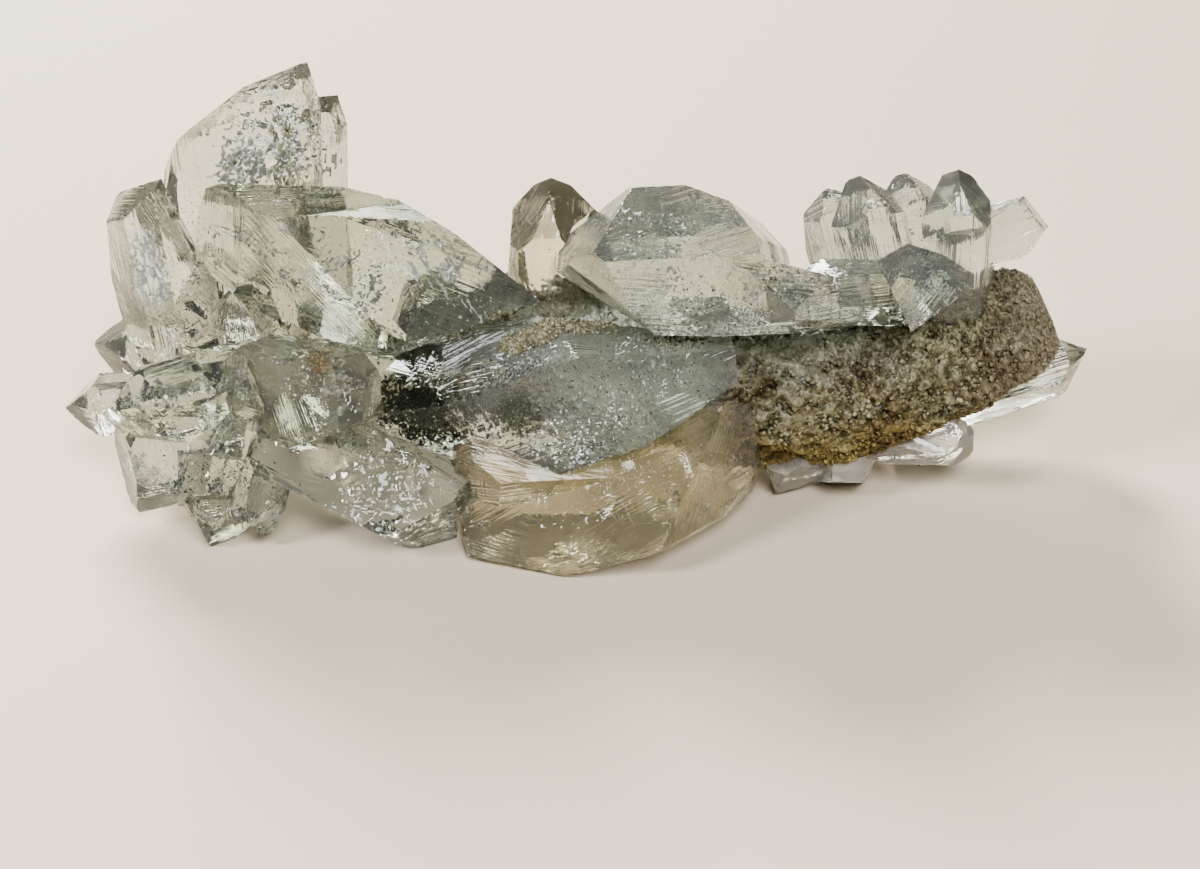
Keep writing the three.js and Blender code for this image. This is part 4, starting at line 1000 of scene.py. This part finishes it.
chlorite = inner_finish("chlorite_flake", ((0.012, 0.018, 0.009), (0.055, 0.07, 0.035)), 0.4)
bubble = inner_finish("bubble", ((0.7, 0.72, 0.7), (0.95, 0.95, 0.93)), 0.35)
rng = np.random.default_rng(21)
flakes("chlorite_flakes", chlorite, *clouds_of(rng, [
    # the phantom's dark end: chlorite, dense enough that it also darkens the end as painted shade
    (PHANTOM, (-13.5, -5.5, 10.6), (5.4, 4.0, 3.0), 3600, 0.10, 0.30),
    (PHANTOM, (-6.5, -6.0, 12.0), (4.0, 3.0, 2.6), 1500, 0.08, 0.26),
    (PHANTOM, (3.0, -4.0, 13.5), (12.0, 4.0, 6.0), 1800, 0.04, 0.12),
    (FAN, (-31.0, 3.0, 14.8), (5.0, 4.0, 3.0), 900, 0.05, 0.16),
    (FAN, (-26.0, 2.0, 15.0), (14.0, 8.0, 6.0), 1600, 0.04, 0.13),
    (FAN, (-9.0, -2.0, 18.0), (5.0, 3.0, 2.0), 160, 0.05, 0.14),
    (FAN, (-31.0, -7.0, 4.0), (5.0, 4.0, 3.0), 500, 0.05, 0.2),
    (FAN, (-14.0, -7.0, 9.0), (8.0, 3.0, 2.0), 800, 0.04, 0.14),
    ("lower_blade", (-4.0, -7.5, 10.0), (10.0, 3.0, 1.6), 900, 0.04, 0.14),
    (RIDGE, (14.0, -3.0, 20.0), (16.0, 5.0, 2.5), 1800, 0.05, 0.2),
    (RIDGE, (28.4, -3.4, 23.6), (3.0, 2.4, 2.0), 420, 0.05, 0.16),
    ("foot_crystals", (29.0, -1.5, 5.0), (3.0, 2.4, 2.4), 350, 0.06, 0.2),
    ("back_fan", (3.0, 6.0, 9.0), (9.0, 4.0, 5.0), 700, 0.05, 0.2),
    ("back_foot", (21.0, 6.0, 9.0), (7.0, 4.0, 5.0), 700, 0.05, 0.2),
]), rng)
veil = veils_of(rng, VEILS, 0.45)
flakes("healed_veils", bubble, veil, 0.04 * 3 ** rng.random(len(veil)), rng)
flakes("bubble_glints", bubble, *clouds_of(rng, [
    (PHANTOM, (-1.0, -8.2, 11.6), (5.0, 1.8, 3.0), 420, 0.06, 0.26),
    (PHANTOM, (4.0, -7.0, 14.0), (10.0, 3.0, 6.0), 420, 0.04, 0.12),
    (FAN, (-25.6, 5.2, 30.5), (6.0, 1.6, 6.0), 320, 0.06, 0.22),
    (FAN, (-22.0, -2.0, 22.0), (14.0, 5.0, 7.0), 420, 0.04, 0.14),
    (FAN, (-32.0, -6.0, 10.0), (10.0, 5.0, 8.0), 360, 0.04, 0.14),
    (RIDGE, (14.0, -3.0, 24.0), (18.0, 6.0, 5.0), 420, 0.04, 0.14),
    ("lower_blade", (0.0, -8.0, 7.0), (12.0, 3.0, 4.0), 160, 0.04, 0.12),
]), rng)

# ---------------------------------------------------------------- floor, light and camera
# A plain pale floor under soft light: the key panel high at the back left, a long low one behind, one at
# the front left and a fill from the front, in a dim room. The camera looks down on the show side.

# The floor reaches this many metres from the middle and lies this many mm below the specimen.
FLOOR_REACH = 3.0
FLOOR_DOWN = 0.05


def plain(name, colour, roughness):
    """A plain matt finish."""
    material = bpy.data.materials.new(name)
    _, _, shader = node_tree(material)
    shader.inputs["Base Color"].default_value = (*colour, 1)
    shader.inputs["Roughness"].default_value = roughness
    return material


corner = FLOOR_REACH / MM
floor = mesh_piece("floor", [[-corner, -corner, -FLOOR_DOWN], [corner, -corner, -FLOOR_DOWN],
                             [corner, corner, -FLOOR_DOWN], [-corner, corner, -FLOOR_DOWN]], [[0, 1, 2, 3]])
floor.data.materials.append(plain("floor_card", (0.72, 0.64, 0.52), 0.8))


def panel(name, place, target, wide, high, power, colour):
    """A soft light of this width and height at a place in metres, turned to a target."""
    light = bpy.data.lights.new(name, "AREA")
    light.shape = "RECTANGLE"
    light.size = wide
    light.size_y = high
    light.energy = power
    light.color = colour
    lamp = bpy.data.objects.new(name, light)
    lamp.location = place
    lamp.rotation_euler = (Vector(target) - Vector(place)).to_track_quat("-Z", "Y").to_euler()
    bpy.context.scene.collection.objects.link(lamp)


# Each light's place and target in m, its width and height in m, its power in W and its colour.
panel("key_panel", (-0.22, 0.40, 0.34), (0, 0, 0.01), 0.2, 0.2, 9.5, (1.0, 0.96, 0.89))
panel("back_panel", (0.02, 0.50, 0.10), (0, 0, 0.01), 0.5, 0.1, 2.0, (1.0, 0.98, 0.95))
panel("side_panel", (-0.41, -0.19, 0.36), (0, 0, 0.01), 0.13, 0.13, 4.2, (0.97, 0.98, 1.0))
panel("fill_panel", (0.10, -0.34, 0.44), (0, 0, 0.01), 0.26, 0.26, 5.7, (0.97, 0.98, 1.0))

world = bpy.data.worlds.new("surround")
world.use_nodes = True
world.node_tree.nodes["Background"].inputs["Color"].default_value = (0.065, 0.065, 0.065, 1)
world.node_tree.nodes["Background"].inputs["Strength"].default_value = 1.0
bpy.context.scene.world = world
bpy.context.scene.view_settings.look = "AgX - High Contrast"
bpy.context.scene.view_settings.exposure = -1.3

CAMERA_TARGET = Vector((1.42, 6.51, 0.0)) * MM
CAMERA_DISTANCE = 199.0 * MM
CAMERA_DOWN = math.radians(35)
camera_data = bpy.data.cameras.new("camera")
camera_data.sensor_width = 36
camera_data.lens = 65.0
camera_data.clip_start = 0.01
camera = bpy.data.objects.new("camera", camera_data)
camera.location = CAMERA_TARGET + CAMERA_DISTANCE * Vector((0, -math.cos(CAMERA_DOWN), math.sin(CAMERA_DOWN)))
camera.rotation_euler = (math.pi / 2 - CAMERA_DOWN, 0, 0)
bpy.context.scene.collection.objects.link(camera)
bpy.context.scene.camera = camera
